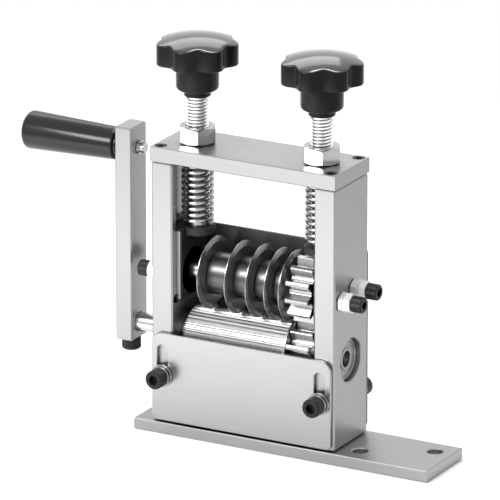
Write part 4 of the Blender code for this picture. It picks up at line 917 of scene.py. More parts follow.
class STRIPPER_OT_side_plates(bpy.types.Operator):
    """Side plates with their block pockets and stepped bearing seats"""

    bl_idname = "stripper.side_plates"
    bl_label = "Side plates"

    def execute(self, context):
        size = sizes()
        for side, out in SIDES.items():
            low, high = span(side + "_side_plate")
            block_low, block_high = span(side + "_bearing_block")
            inner = low.x if out > 0 else high.x
            block_outer = block_high.x if out > 0 else block_low.x
            ends = sorted((inner - out * OVERRUN, block_outer + out * GAP))
            floor = block_low.z - GAP
            half = block_high.y + GAP
            pocket = slab((ends[0], -half, floor), (ends[1], half, high.z + OVERRUN))
            cutters = [pocket]
            for y in (-half, half):
                cutter = plug(size.relief, 0, ends[1] - ends[0] - GAP)
                start = Vector((ends[0] if out > 0 else ends[1], y, floor + size.relief / 2))
                cutters.append(placed(cutter, facing(start, (out, 0, 0))))
            cutters += self.bearing_seat(side, out, low, high)
            body = combined(slab(low, high, size.plate_chamfer), cutters)
            name = side + "_upright"
            node = side + "_side_plate"
            finish_piece(name, body, plate_metal("z"), "frame", [node])
        return {"FINISHED"}

    def bearing_seat(self, side, out, low, high):
        """The seat of a drive bearing, with a chamfered mouth, and the hole behind it."""
        size = sizes()
        ring_low, ring_high = span(side + "_drive_bearing")
        axis = middle(side + "_drive_bearing")
        radius = (ring_high.z - ring_low.z) / 2 + GAP
        back = (ring_low.x if out > 0 else ring_high.x) - out * GAP
        face = high.x if out > 0 else low.x
        depth = abs(face - back)
        mouth = size.hole_chamfer
        seat = lathe(
            [
                (0, depth + OVERRUN),
                (radius + mouth + OVERRUN, depth + OVERRUN),
                (radius, depth - mouth),
                (radius, 0),
                (0, 0),
            ]
        )
        place = facing((back, axis.y, axis.z), (out, 0, 0))
        hole = plug(size.shaft_hole, -2 * OVERRUN - depth, OVERRUN)
        return [placed(seat, place), placed(hole, place)]


class STRIPPER_OT_top_plate(bpy.types.Operator):
    """Top plate with its rod holes, screw seats and flat head screws"""

    bl_idname = "stripper.top_plate"
    bl_label = "Top plate"

    def execute(self, context):
        size = sizes()
        low, high = span("top_plate")
        cutters = []
        for side in SIDES:
            hole = drill(rod_radius(side) + GAP, low.z, high.z, size.hole_chamfer)
            cutters.append(placed(hole, upright(middle(side + "_pressure_screw").x)))
        screws = []
        nodes = []
        for index in range(4):
            node = f"top_plate_screw_{index + 1}"
            nodes.append(node)
            head_low, head_high = span(node)
            centre = (head_low + head_high) / 2
            radius = (head_high.x - head_low.x) / 2
            shank = radius / 2
            place = upright(centre.x, centre.y, head_high.z)
            sunk = high.z - head_high.z
            seat = lathe(
                [
                    (0, sunk + OVERRUN),
                    (radius + GAP, sunk + OVERRUN),
                    (radius + GAP, -GAP),
                    (shank, shank - radius - 2 * GAP),
                    (0, shank - radius - 2 * GAP),
                ],
                segments=48,
            )
            cutters.append(placed(seat, place))
            screws.append(placed(flat_head_screw(radius, shank, high.z - low.z), place))
        body = combined(slab(low, high, size.top_chamfer), cutters)
        finish_piece("top_bar", body, plate_metal("x"), "frame", ["top_plate"])
        heads = joined(screws)
        finish_piece("top_bar_screws", heads, black_oxide(), "frame", nodes)
        return {"FINISHED"}


class STRIPPER_OT_guide_plates(bpy.types.Operator):
    """Slotted front guide plate and the rear one with its row of holes"""

    bl_idname = "stripper.guide_plates"
    bl_label = "Guide plates"

    def execute(self, context):
        size = sizes()
        sheet = machined("steel sheet", colours().sheet, GRAIN["x"], 0.28)
        low, high = span("front_guide_plate")
        cutters = []
        for side in SIDES:
            screw = middle(f"front_plate_{side}_screw")
            radius = GUIDE_CLEARANCE
            foot = screw.z - size.slot_drop - radius
            head = screw.z + size.slot_rise + radius
            near = (screw.x - radius, low.y - OVERRUN, foot)
            far = (screw.x + radius, high.y + OVERRUN, head)
            cutter = slab(near, far)
            soften(cutter, along(cutter, 1), radius * 0.999, 10)
            cutters.append(cutter)
        plate = self.sheet_form(low, high, 6 * MM, 3 * MM)
        plate = combined(plate, cutters)
        name = "front_guide_sheet"
        finish_piece(name, plate, sheet, "front_guide", ["front_guide_plate"])

        low, high = span("rear_guide_plate")
        face = high.y - REAR_THICKNESS
        plate = self.sheet_form(Vector((low.x, face, low.z)), high, 3 * MM, 3 * MM)
        cutters = []
        for index in range(5):
            centre, half = opening(f"rear_guide_hole_{index + 1}")
            cutter = drill(half.x * GUIDE_HOLE_SHARE, face, high.y, size.fine_chamfer)
            turn = Matrix.Rotation(math.radians(-90), 4, "X")
            cutters.append(placed(cutter, Matrix.Translation((centre.x, 0, centre.z)) @ turn))
        rings = []
        for side in SIDES:
            screw = middle(f"rear_plate_{side}_screw")
            depth = REAR_STANDOFF - GAP
            place = facing((screw.x, face, screw.z), (0, -1, 0))
            rings.append(turned_ring(place, GUIDE_CLEARANCE, 6 * MM, 0, depth, size.fine_chamfer))
        plate = joined([combined(plate, cutters)] + rings)
        name = "rear_guide_sheet"
        # Painted shade: the rear plate is the front plate's sheet steel darkened to about a third, as it
        # stands in shade behind the blades.
        shaded_sheet = machined("rear sheet", shade(colours().sheet, 0.32), GRAIN["x"], 0.4)
        finish_piece(name, plate, shaded_sheet, "frame", ["rear_guide_plate"])
        return {"FINISHED"}

    def sheet_form(self, low, high, top_corner, foot_corner):
        """A thin plate on edge with its own corner radius at top and foot."""
        plate = slab(low, high)
        half = (low.z + high.z) / 2
        for above, radius in ((True, top_corner), (False, foot_corner)):
            corners = [line for line in along(plate, 1) if (line.verts[0].co.z > half) == above]
            soften(plate, corners, radius, 10)
        rims = [line for line in plate.edges if abs(line.verts[0].co.y - line.verts[1].co.y) < GAP]
        soften(plate, rims, sizes().fine_chamfer)
        return plate


def along(shape, axis):
    """The edges of a form that run along one axis."""
    found = []
    for line in shape.edges:
        run = line.verts[1].co - line.verts[0].co
        if abs(run[axis]) > 0.99 * run.length:
            found.append(line)
    return found


class STRIPPER_OT_guide_screws(bpy.types.Operator):
    """Socket head screws of the guide plates, each with its washers"""

    bl_idname = "stripper.guide_screws"
    bl_label = "Guide screws"

    def execute(self, context):
        size = sizes()
        washers = []
        for end, out in (("front", -1), ("rear", 1)):
            for side in SIDES:
                node = f"{end}_plate_{side}_screw"
                low, high = span(node)
                centre = (low + high) / 2
                head_end = low.y if out < 0 else high.y
                foot = head_end - out * size.guide_head_height
                place = facing((centre.x, foot, centre.z), (0, out, 0))
                depth = high.y - low.y - size.guide_head_height
                screw = cap_screw(size.guide_head, size.guide_head_height, GUIDE_SHANK, depth)
                name = f"{end}_guide_screw_{side}"
                screw = placed(screw, place)
                finish_piece(name, screw, black_oxide(), "frame", [node])
                rings = [(5.2 * MM, -1.9 * MM, -GAP)]
                if end == "front":
                    rings.append((6 * MM, -3.4 * MM, -2.2 * MM))
                for radius, ring_low, ring_high in rings:
                    washer = turned_ring(place, 3.2 * MM, radius, ring_low, ring_high, LIGHT_CHAMFER)
                    washers.append(washer)
        dark = turned_steel("washer steel", shade(colours().bright, 0.55), 0.24)
        finish_piece("guide_washers", joined(washers), dark, "frame")
        return {"FINISHED"}


class STRIPPER_OT_adjusters(bpy.types.Operator):
    """Side adjusting screws with their lock nuts"""

    bl_idname = "stripper.adjusters"
    bl_label = "Adjusting screws"

    def execute(self, context):
        size = sizes()
        for node in frame["nodes"]:
            is_screw = node.endswith("_adjusting_screw")
            if not is_screw and "_lock_nut" not in node:
                continue
            out = SIDES[node.split("_")[0]]
            low, high = span(node)
            centre = (low + high) / 2
            if is_screw:
                tip = high.x if out > 0 else low.x
                foot = tip - out * size.small_head_height
                depth = high.x - low.x - size.small_head_height
                screw = cap_screw(size.small_head, size.small_head_height, 2.4 * MM, depth)
                place = facing((foot, centre.y, centre.z), (out, 0, 0))
                name = node.replace("adjusting", "set")
                screw = placed(screw, place)
                finish_piece(name, screw, black_oxide(), "frame", [node])
            else:
                foot = low.x if out > 0 else high.x
                nut = hexagon_nut(high.z - low.z, 2.6 * MM, high.x - low.x)
                turn = Matrix.Rotation(math.radians(90), 4, "Z")
                nut = placed(nut, facing((foot, centre.y, centre.z), (out, 0, 0)) @ turn)
                name = node.replace("lock_nut", "hex_nut")
                finish_piece(name, nut, zinc_plate(), "frame", [node])
        return {"FINISHED"}


class STRIPPER_OT_bearings(bpy.types.Operator):
    """Ball bearings: outer ring, inner ring and the shield or seal between them"""

    bl_idname = "stripper.bearings"
    bl_label = "Ball bearings"

    def execute(self, context):
        size = sizes()
        colour = colours()
        shield_steel = turned_steel("shield steel", colour.shield, 0.3)
        # Painted shade: the blade bearings' rings are the bright steel darkened to under half, as they sit
        # in shade between the blocks and the blades.
        shaded_race_steel = turned_steel("race steel", shade(colour.bright, 0.45))
        rubber = moulded("bearing seal", 0.4, 0.3)
        for kind, body, look, back, ring_finish, cover in (
            ("drive", "frame", 1, size.bearing_recess, shield_steel, (shield_steel, "bright_steel")),
            ("blade", "carriage", -1, 0, shaded_race_steel, (rubber, "black_plastic")),
        ):
            for side, out in SIDES.items():
                node = f"{side}_{kind}_bearing"
                low, high = span(node)
                centre = (low + high) / 2
                radius = (high.z - low.z) / 2
                width = high.x - low.x - back
                bore = (SHAFT.get(kind) or SHAFT[f"{side}_{kind}"]) + GAP / 2
                wall = (radius - bore) * 0.27
                edge = size.fine_chamfer
                way = out * look
                face = (high.x if way > 0 else low.x) - way * back
                place = facing((face, centre.y, centre.z), (way, 0, 0))
                outer = turned_ring(place, radius - wall, radius, -width, 0, edge)
                inner = turned_ring(place, bore, bore + wall, -width, 0, edge)
                name = f"{side}_{kind}_bearing_rings"
                finish_piece(name, joined([outer, inner]), ring_finish, body, [node])
                sunk = 0.5 * MM
                cover_bore, cover_radius = bore + wall - GAP, radius - wall + GAP
                shield = turned_ring(place, cover_bore, cover_radius, sunk - width, -sunk, edge / 4)
                finish_piece(f"{side}_{kind}_bearing_seal", shield, cover[0], body)
        return {"FINISHED"}


class STRIPPER_OT_bearing_blocks(bpy.types.Operator):
    """Sliding blocks, each with its bearing seat and the lip that carries the spring"""

    bl_idname = "stripper.bearing_blocks"
    bl_label = "Bearing blocks"

    def execute(self, context):
        size = sizes()
        finish = block_steel()
        for side, out in SIDES.items():
            body = self.right_hand_block(size)
            if out < 0:
                body.transform(Matrix.Scale(-1, 4, (1, 0, 0)))
                bmesh.ops.reverse_faces(body, faces=body.faces)
            node = side + "_bearing_block"
            finish_piece(side + "_slide_block", body, finish, "carriage", [node])
        return {"FINISHED"}

    def right_hand_block(self, size):
        """The block on the right; the one on the left is its mirror image. Tops and ends are
        a step apart, so that no two faces that are joined lie in one plane."""
        low, high = span("right_bearing_block")
        bearing_low, bearing_high = span("right_blade_bearing")
        axis = middle("right_blade_bearing")
        rod = middle("right_pressure_screw")
        inner = bearing_low.x - GAP
        step = 0.1 * MM
        body = slab((inner, low.y, low.z), (high.x, high.y, high.z - 2 * step), size.plate_chamfer)
        seat_radius = (bearing_high.z - bearing_low.z) / 2 + GAP
        seat = plug(seat_radius, -OVERRUN, bearing_high.x - bearing_low.x + 2 * GAP, 72)
        body = combined(body, [placed(seat, facing((inner, axis.y, axis.z), (1, 0, 0)))])
        lip_radius = abs(rod.x - low.x)
        lip_foot = high.z - LIP_DEPTH
        lip = plug(lip_radius, lip_foot, high.z)
        soften(lip, rim_edges(lip, lip_radius), size.fine_chamfer)
        lip = placed(lip, upright(rod.x))
        half = lip_radius - 4 * step
        foot = (rod.x + 1.7 * MM, -half, lip_foot + step)
        tongue = slab(foot, (inner + OVERRUN, half, high.z - step), size.fine_chamfer)
        body = combined(body, [lip, tongue], "UNION")
        pin = plug(3.3 * MM, lip_foot - OVERRUN, high.z + OVERRUN)
        room = plug(5.2 * MM, lip_foot - 3.2 * MM, lip_foot + GAP / 2)
        cutters = []
        for cutter, turn in ((pin, 2), (room, 1)):
            place = upright(rod.x) @ Matrix.Rotation(math.radians(turn), 4, "Z")
            cutters.append(placed(cutter, place))
        return combined(body, cutters)


def rim_edges(shape, radius):
    """The edges round both ends of an upright drum."""
    found = []
    for line in shape.edges:
        first, second = (vert.co for vert in line.verts)
        level = abs(first.z - second.z) < GAP / 3
        if level and min(first.xy.length, second.xy.length) > radius * 0.99:
            found.append(line)
    return found


class STRIPPER_OT_blades(bpy.types.Operator):
    """Round blades, the spacers between them and the ring that holds them"""

    bl_idname = "stripper.blades"
    bl_label = "Blades and spacers"

    def execute(self, context):
        size = sizes()
        axis = middle("blade_shaft")
        bore = BLADE_BORE
        for index in range(5):
            node = f"blade_{index + 1}"
            low, high = span(node)
            rim = (high.z - low.z) / 2
            half = (high.x - low.x) / 2
            shoulder = rim - size.blade_grind
            edge = size.blade_edge / 2
            hone = 0.5 * MM
            profile = [
                (bore, half),
                (shoulder, half),
                (rim - hone, edge * 2.6),
                (rim, edge),
                (rim, -edge),
                (rim - hone, -edge * 2.6),
                (shoulder, -half),
                (bore, -half),
            ]
            blade = placed(lathe(profile, ring=True, segments=128), along_x(axis, (low.x + high.x) / 2))
            name = f"round_blade_{index + 1}"
            finish_piece(name, blade, blade_steel(), "blades", [node], smooth=12)
        spacer_finish = machined("spacer steel", colours().spacer, (1200, 40, 40), 0.28)
        for index in range(4):
            node = f"blade_spacer_{index + 1}"
            low, high = span(node)
            spacer = turned_ring(along_x(axis), bore, size.spacer, low.x, high.x, size.fine_chamfer, 96)
            name = f"spacer_{index + 1}"
            finish_piece(name, spacer, spacer_finish, "blades", [node])
        low, high = span("blade_retaining_ring")
        radius = (high.z - low.z) / 2
        ring = turned_ring(along_x(axis), 5.4 * MM, radius, low.x, high.x, 0.15 * MM)
        node = "blade_retaining_ring"
        finish_piece("blade_circlip", ring, black_oxide(), "blades", [node])
        return {"FINISHED"}


class STRIPPER_OT_gears(bpy.types.Operator):
    """The pair of gears, each with its hub"""

    bl_idname = "stripper.gears"
    bl_label = "Gears"

    def execute(self, context):
        size = sizes()
        finish = turned_steel("gear steel", colours().gear, 0.26)
        for kind, body, towards in (("blade", "blades", -1), ("drive", "crank", 1)):
            node = f"{kind}_gear"
            low, high = span(node)
            axis = middle(f"{kind}_shaft")
            tip = max(high.y - low.y, high.z - low.z) / 2
            face_low, face_high = self.tooth_span()
            pitch = math.tau / size.gear_teeth
            first = towards * math.pi / 2 + pitch / 4
            teeth = self.toothed(tip, first, face_low, face_high)
            shape = [placed(teeth, along_x(axis))]
            if kind == "blade":
                ends = (low.x, face_low + OVERRUN)
            else:
                ends = (face_high - OVERRUN, high.x)
            shape.append(turned_ring(along_x(axis), HUB_BORE, size.hub, *ends, size.fine_chamfer))
            name = f"{kind}_spur_gear"
            finish_piece(name, joined(shape), finish, body, [node])
        return {"FINISHED"}

    def tooth_span(self):
        """Both gears' teeth run from the side disc to the drive gear's hub."""
        disc = span("feed_side_disc")[1].x
        return disc + GAP, span("blade_gear")[1].x

    def toothed(self, tip, first, low, high):
        size = sizes()
        root = tip - size.tooth_depth
        tip_half = math.asin(size.tooth_tip / 2 / tip)
        root_half = math.asin(size.tooth_root / 2 / root)
        outline = []
        for tooth in range(size.gear_teeth):
            middle_angle = first + math.tau * tooth / size.gear_teeth
            for reach, offset in ((root, -root_half), (tip, -tip_half), (tip, tip_half), (root, root_half)):
                angle = middle_angle + offset
                outline.append(polar(reach, angle))
        shape = prism(outline, low, high)
        tips = [line for line in along(shape, 2) if line.verts[0].co.xy.length > tip - GAP]
        soften(shape, tips, 0.45 * MM, 2)
        roots = [line for line in along(shape, 2) if line.verts[0].co.xy.length < root + GAP]
        soften(shape, roots, 0.5 * MM, 2)
        rims = [line for line in shape.edges if abs(line.verts[0].co.z - line.verts[1].co.z) < GAP / 3]
        soften(shape, rims, size.fine_chamfer)
        return shape


class STRIPPER_OT_feed_roller(bpy.types.Operator):
    """Serrated feed roller and the disc beside it"""

    bl_idname = "stripper.feed_roller"
    bl_label = "Feed roller"

    def execute(self, context):
        size = sizes()
        axis = middle("drive_shaft")
        low, high = span("feed_roller")
        radius = (high.z - low.z) / 2
        outline = []
        for index in range(size.serrations * 4):
            step = index % 4
            reach = radius - size.serration_depth * (0.0, 0.0, 1.0, 1.0)[step]
            angle = math.tau * (index - 0.5 + (0.12, -0.12, 0.12, -0.12)[step]) / (size.serrations * 4)
            outline.append(polar(reach, angle))
        hub_width = 3.7 * MM
        roller = prism(outline, low.x + hub_width, high.x, size.fine_chamfer)
        hub = plug(size.hub, low.x, low.x + hub_width + OVERRUN)
        shape = joined([placed(roller, along_x(axis)), placed(hub, along_x(axis))])
        finish = turned_steel("roller steel", shade(colours().gear, 0.9), 0.3)
        finish_piece("serrated_roller", shape, finish, "crank", ["feed_roller"])
        low, high = span("feed_side_disc")
        radius = (high.z - low.z) / 2
        disc = turned_ring(along_x(axis), HUB_BORE, radius, low.x, high.x, LIGHT_CHAMFER, 96)
        finish_piece("side_disc", disc, bright_steel(), "crank", ["feed_side_disc"])
        return {"FINISHED"}


class STRIPPER_OT_shafts(bpy.types.Operator):
    """Drive shaft and blade shaft, with centre marks in their ends"""

    bl_idname = "stripper.shafts"
    bl_label = "Shafts"

    def execute(self, context):
        size = sizes()
        edge = size.fine_chamfer
        low, high = span("drive_shaft")
        plates = span("left_side_plate")[1].x, span("right_side_plate")[0].x
        steps = [
            (SHAFT["right_drive"], plates[1], high.x - size.shaft_recess),
            (SHAFT["blade"], plates[0], plates[1]),
            (SHAFT["left_drive"], low.x, plates[0]),
        ]
        self.turn("drive", "crank", steps, edge)
        low, high = span("blade_shaft")
        self.turn("blade", "blades", [(SHAFT["blade"], low.x, high.x)], edge)
        return {"FINISHED"}

    def turn(self, kind, body, steps, edge):
        node = f"{kind}_shaft"
        shaft = lathe(rod_profile(steps, edge))
        marks = []
        for point, way in ((steps[0][2], 1), (steps[-1][1], -1)):
            depth = 1.2 * MM
            mark = lathe([(0, OVERRUN), (depth + OVERRUN, OVERRUN), (0, -depth)], segments=32)
            marks.append(placed(mark, facing((0, 0, point), (0, 0, way))))
        shaft = placed(combined(shaft, marks), along_x(middle(node)))
        finish_piece(f"{kind}_axle", shaft, bright_steel(), body, [node])


class STRIPPER_OT_pressure_screws(bpy.types.Operator):
    """Threaded rods with their plain spindles and riveted ends"""

    bl_idname = "stripper.pressure_screws"
    bl_label = "Pressure screws"

    def execute(self, context):
        size = sizes()
        finish = rod_steel()
        for side in SIDES:
            node = side + "_pressure_screw"
            low, high = span(node)
            block_top = span(side + "_bearing_block")[1].z
            plate_foot = span("top_plate")[0].z
            thread = self.thread(rod_radius(side), plate_foot, high.z)
            lip_foot = block_top - LIP_DEPTH
            spindle = lathe(
                rod_profile(
                    [
                        (size.spindle, block_top + GAP, plate_foot + GAP),
                        (3 * MM, lip_foot - GAP, block_top + GAP),
                        (4.6 * MM, low.z, lip_foot - GAP),
                    ],
                    size.fine_chamfer,
                ),
                segments=48,
            )
            rod = placed(joined([thread, spindle]), upright(middle(node).x))
            name = side + "_threaded_rod"
            finish_piece(name, rod, finish, side + "_screw", [node], smooth=40)
        return {"FINISHED"}

    def thread(self, radius, low, high, segments=48):
        """A screw thread: the profile of one pitch, spun upwards, cut off and capped."""
        size = sizes()
        pitch = size.pitch
        root = radius - size.thread_depth
        turns = math.ceil((high - low) / pitch) + 2
        profile = [(root, 0), (root, 0.12), (radius, 0.44), (radius, 0.56), (root, 0.88), (root, 1)]
        shape = bmesh.new()
        start = low - pitch
        corners = [shape.verts.new((reach, 0, start + share * pitch)) for reach, share in profile]
        edges = [shape.edges.new(run) for run in zip(corners, corners[1:])]
        bmesh.ops.spin(
            shape,
            geom=corners + edges,
            cent=(0, 0, 0),
            axis=(0, 0, 1),
            dvec=(0, 0, pitch / segments),
            angle=math.tau * turns,
            steps=segments * turns,
            use_duplicate=False,
        )
        bmesh.ops.remove_doubles(shape, verts=shape.verts, dist=0.005 * MM)
        for height, way in ((low, -1), (high, 1)):
            bmesh.ops.bisect_plane(
                shape,
                geom=shape.verts[:] + shape.edges[:] + shape.faces[:],
                plane_co=(0, 0, height),
                plane_no=(0, 0, way),
                clear_outer=True,
            )
        return capped(shape)


class STRIPPER_OT_pressure_nuts(bpy.types.Operator):
    """Large nuts that stand on the top plate"""

    bl_idname = "stripper.pressure_nuts"
    bl_label = "Pressure nuts"

    def execute(self, context):
        for side in SIDES:
            node = side + "_pressure_nut"
            low, high = span(node)
            nut = hexagon_nut(high.y - low.y, rod_radius(side) + GAP / 3, high.z - low.z)
            nut = placed(nut, upright(middle(node).x, z=low.z))
            finish_piece(side + "_big_nut", nut, bright_steel(), "frame", [node])
        return {"FINISHED"}


class STRIPPER_OT_springs(bpy.types.Operator):
    """Coil springs between the bearing blocks and the top plate"""

    bl_idname = "stripper.springs"
    bl_label = "Coil springs"

    def execute(self, context):
        size = sizes()
        finish = turned_steel("spring steel", colours().spring, 0.2)
        for side in SIDES:
            node = side + "_spring"
            low, high = span(node)
            mean = (high.x - low.x) / 2 - size.spring_wire
            shape = self.coil(mean, low.z, high.z)
            shape = placed(shape, upright(middle(side + "_pressure_screw").x))
            spring = finish_piece(side + "_coil", shape, finish, "frame", [node])
            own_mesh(spring)
        return {"FINISHED"}

    def coil(self, mean, low, high):
        """A round wire wound in closed, open and closed turns, its ends capped."""
        size = sizes()
        wire = size.spring_wire
        closed = 2 * wire + size.spring_gap
        open_turns = size.spring_turns - 2
        open_pitch = (high - low - 2 * wire - 2 * closed) / open_turns
        shape = bmesh.new()
        start = Matrix.Translation((mean, 0, low + wire)) @ Matrix.Rotation(math.radians(90), 4, "X")
        made = bmesh.ops.create_circle(shape, segments=14, radius=wire, matrix=start)
        loop = made["verts"] + shape.edges[:]
        for turns, pitch in ((1, closed), (open_turns, open_pitch), (1, closed)):
            steps = round(36 * turns)
            spun = bmesh.ops.spin(
                shape,
                geom=loop,
                cent=(0, 0, 0),
                axis=(0, 0, 1),
                dvec=(0, 0, pitch * turns / steps),
                angle=math.tau * turns,
                steps=steps,
                use_duplicate=False,
            )
            loop = spun["geom_last"]
        return capped(shape)


class STRIPPER_OT_knobs(bpy.types.Operator):
    """Star knobs: lobed head, domed top, round hub and neck"""

    bl_idname = "stripper.knobs"
    bl_label = "Star knobs"

    def execute(self, context):
        finish = moulded("knob plastic", 0.22, 0.14, self.dome_share)
        for side in SIDES:
            node = side + "_knob"
            rod_top = span(side + "_pressure_screw")[1].z
            knob = self.form(node, rod_radius(side) + GAP / 2, rod_top + GAP)
            turn = Matrix.Rotation(math.radians(-60) + math.pi / sizes().knob_lobes, 4, "Z")
            place = upright(middle(side + "_pressure_screw").x) @ turn
            knob = placed(knob, place)
            name, body = side + "_star_knob", side + "_screw"
            finish_piece(name, knob, finish, body, [node], smooth=40)
        return {"FINISHED"}

    def dome_share(self, recipe):
        """1 on the domed top of either knob and 0 on its sides."""
        size = sizes()
        edge = span("right_knob")[1].z - size.knob_dome
        reach = recipe.rod_distance() / size.knob_lobe
        height = recipe.node("SeparateXYZ", inputs={"Vector": recipe.spots()}, output="Z")
        above = height - ((1 - reach * reach) * size.knob_dome + edge)
        return recipe.ramp(above, -0.5 * MM, -0.15 * MM)

    def form(self, node, bore, bore_end):
        """Rings of one circle, each pulled out of the last: up the bore, down to the foot,
        round the hub, out to the lobes, up their wall and over the dome."""
        size = sizes()
        low, high = span(node)
        foot = low.z
        hub_foot = foot + size.neck_height
        edge_top = high.z - size.knob_dome
        head_foot = edge_top - size.knob_head
        lobe = size.knob_lobe
        soft = size.knob_rounding

        def dome(reach):
            return edge_top + size.knob_dome * (1 - (reach / lobe) ** 2)

        rings = [
            (bore, bore_end, 0),
            (bore, foot + soft / 2, 0),
            (bore + soft / 2, foot, 0),
            (size.neck - soft / 2, foot, 0),
            (size.neck, foot + soft / 2, 0),
            (size.neck, hub_foot, 0),
        ]
        rounding = size.hub_rounding
        for step in range(6):
            angle = math.radians(18 * step)
            reach = size.knob_hub - rounding * (1 - math.sin(angle))
            rings.append((reach, hub_foot + rounding * (1 - math.cos(angle)), 0))
        rings.append((size.knob_hub, head_foot - 0.6 * MM, 0))
        rings.append((size.knob_hub + 0.6 * MM, head_foot, 0))
        for step in range(5):
            angle = math.radians(22.5 * step)
            reach = lobe - soft * (1 - math.sin(angle))
            rings.append((reach, head_foot + soft * (1 - math.cos(angle)), 1))
        for step in range(5):
            angle = math.radians(22.5 * step)
            reach = lobe - soft * (1 - math.cos(angle))
            drop = soft * (1 - math.sin(angle))
            rings.append((reach, lambda own, drop=drop: dome(own) - drop, 1))
        for share in (0.9, 0.8, 0.68, 0.55, 0.42, 0.3, 0.18, 0.08):
            rings.append((lobe * share, dome, 1))

        shape = bmesh.new()
        made = bmesh.ops.create_circle(shape, segments=size.knob_lobes * 18, radius=bore)
        loop = shape.edges[:]
        self.move(made["verts"], *rings[0])
        first = list(made["verts"])
        for ring in rings[1:]:
            pulled = bmesh.ops.extrude_edge_only(shape, edges=loop)["geom"]
            verts = [part for part in pulled if isinstance(part, bmesh.types.BMVert)]
            loop = [part for part in pulled if isinstance(part, bmesh.types.BMEdge)]
            self.move(verts, *ring)
        last = list({vert for line in loop for vert in line.verts})
        bmesh.ops.pointmerge(shape, verts=last, merge_co=(0, 0, dome(0)))
        bmesh.ops.contextual_create(shape, geom=first)
        bmesh.ops.recalc_face_normals(shape, faces=shape.faces)
        return shape

    def move(self, verts, reach, height, lobed):
        """Take each point of a ring out to its reach, less the valley where it is lobed."""
        size = sizes()
        for vert in verts:
            angle = math.atan2(vert.co.y, vert.co.x)
            dip = (0.5 - 0.5 * math.cos(size.knob_lobes * angle)) ** 1.4
            own = reach * (1 - lobed * size.knob_valley / size.knob_lobe * dip)
            level = height(own) if callable(height) else height
            vert.co = (*polar(own, angle), level)


class STRIPPER_OT_crank_arm(bpy.types.Operator):
    """Crank arm with its clamp screw"""

    bl_idname = "stripper.crank_arm"
    bl_label = "Crank arm"

    def execute(self, context):
        size = sizes()
        low, high = span("crank_arm")
        shaft = middle("drive_shaft")
        axle = middle("handle_axle")
        cutters = []
        for centre, radius in ((shaft, 5.1 * MM), (axle, 3.1 * MM)):
            cutter = drill(radius, low.x, high.x, size.fine_chamfer)
            cutters.append(placed(cutter, along_x(centre)))
        body = combined(slab(low, high, size.plate_chamfer), cutters)
        finish_piece("crank_bar", body, plate_metal("z"), "crank", ["crank_arm"])
        low, high = span("crank_clamp_screw")
        centre = (low + high) / 2
        depth = high.z - low.z - size.guide_head_height
        screw = cap_screw(size.guide_head, size.guide_head_height, GUIDE_SHANK, depth)
        place = facing((centre.x, centre.y, low.z + size.guide_head_height), (0, 0, -1))
        node = "crank_clamp_screw"
        finish_piece("clamp_screw", placed(screw, place), black_oxide(), "crank", [node])
        return {"FINISHED"}


class STRIPPER_OT_handle(bpy.types.Operator):
    """Turning grip, its axle and its washer"""

    bl_idname = "stripper.handle"
    bl_label = "Handle"

    def execute(self, context):
        size = sizes()
        low, high = span("handle_grip")
        axis = (low + high) / 2
        outer = (high.z - low.z) / 2
        inner = 8.5 * MM
        bore = GRIP_BORE
        recess = 7.2 * MM
        floor = low.x + 5 * MM
        lip = 1.2 * MM
        profile = [(bore, high.x)]
        for step in range(5):
            angle = math.radians(22.5 * step)
            profile.append((inner - lip * (1 - math.sin(angle)), high.x - lip * (1 - math.cos(angle))))
        rounding = size.grip_rounding
        for step in range(9):
            angle = math.radians(11.25 * step)
            reach = outer - rounding * (1 - math.cos(angle))
            profile.append((reach, low.x + rounding * (1 - math.sin(angle))))
        profile += [(recess + 0.4 * MM, low.x), (recess, low.x + 0.4 * MM), (recess, floor), (bore, floor)]
        grip = placed(lathe(profile, ring=True, segments=96), along_x(axis))
        finish = moulded("grip plastic", 0.2, 0.33)
        finish_piece("crank_grip", grip, finish, "grip", ["handle_grip"], smooth=35)

        low, high = span("handle_axle")
        arm_low, arm_high = span("crank_arm")
        head_foot = low.x + 4 * MM
        head_radius = (high.z - low.z) / 2
        steps = [
            (2.85 * MM, arm_high.x + 1.5 * MM, high.x),
            (3.6 * MM, arm_high.x + GAP, arm_high.x + 1.5 * MM),
            (3 * MM, arm_low.x - GAP, arm_high.x + GAP),
            (4 * MM, head_foot, arm_low.x - GAP),
            (head_radius, low.x, head_foot),
        ]
        axle = lathe(rod_profile(steps, size.fine_chamfer))
        socket = hexagon_socket(5 * MM, 2.5 * MM, 0)
        socket = placed(socket, facing((0, 0, low.x), (0, 0, -1)))
        axle = placed(combined(axle, [socket]), along_x(axis))
        finish_piece("handle_bolt", axle, bright_steel(), "crank", ["handle_axle"])
        low, high = span("handle_washer")
        radius = (high.z - low.z) / 2
        washer = turned_ring(along_x(axis), GRIP_BORE, radius, low.x, high.x, LIGHT_CHAMFER)
        finish_piece("grip_washer", washer, finish, "crank", ["handle_washer"])
        return {"FINISHED"}


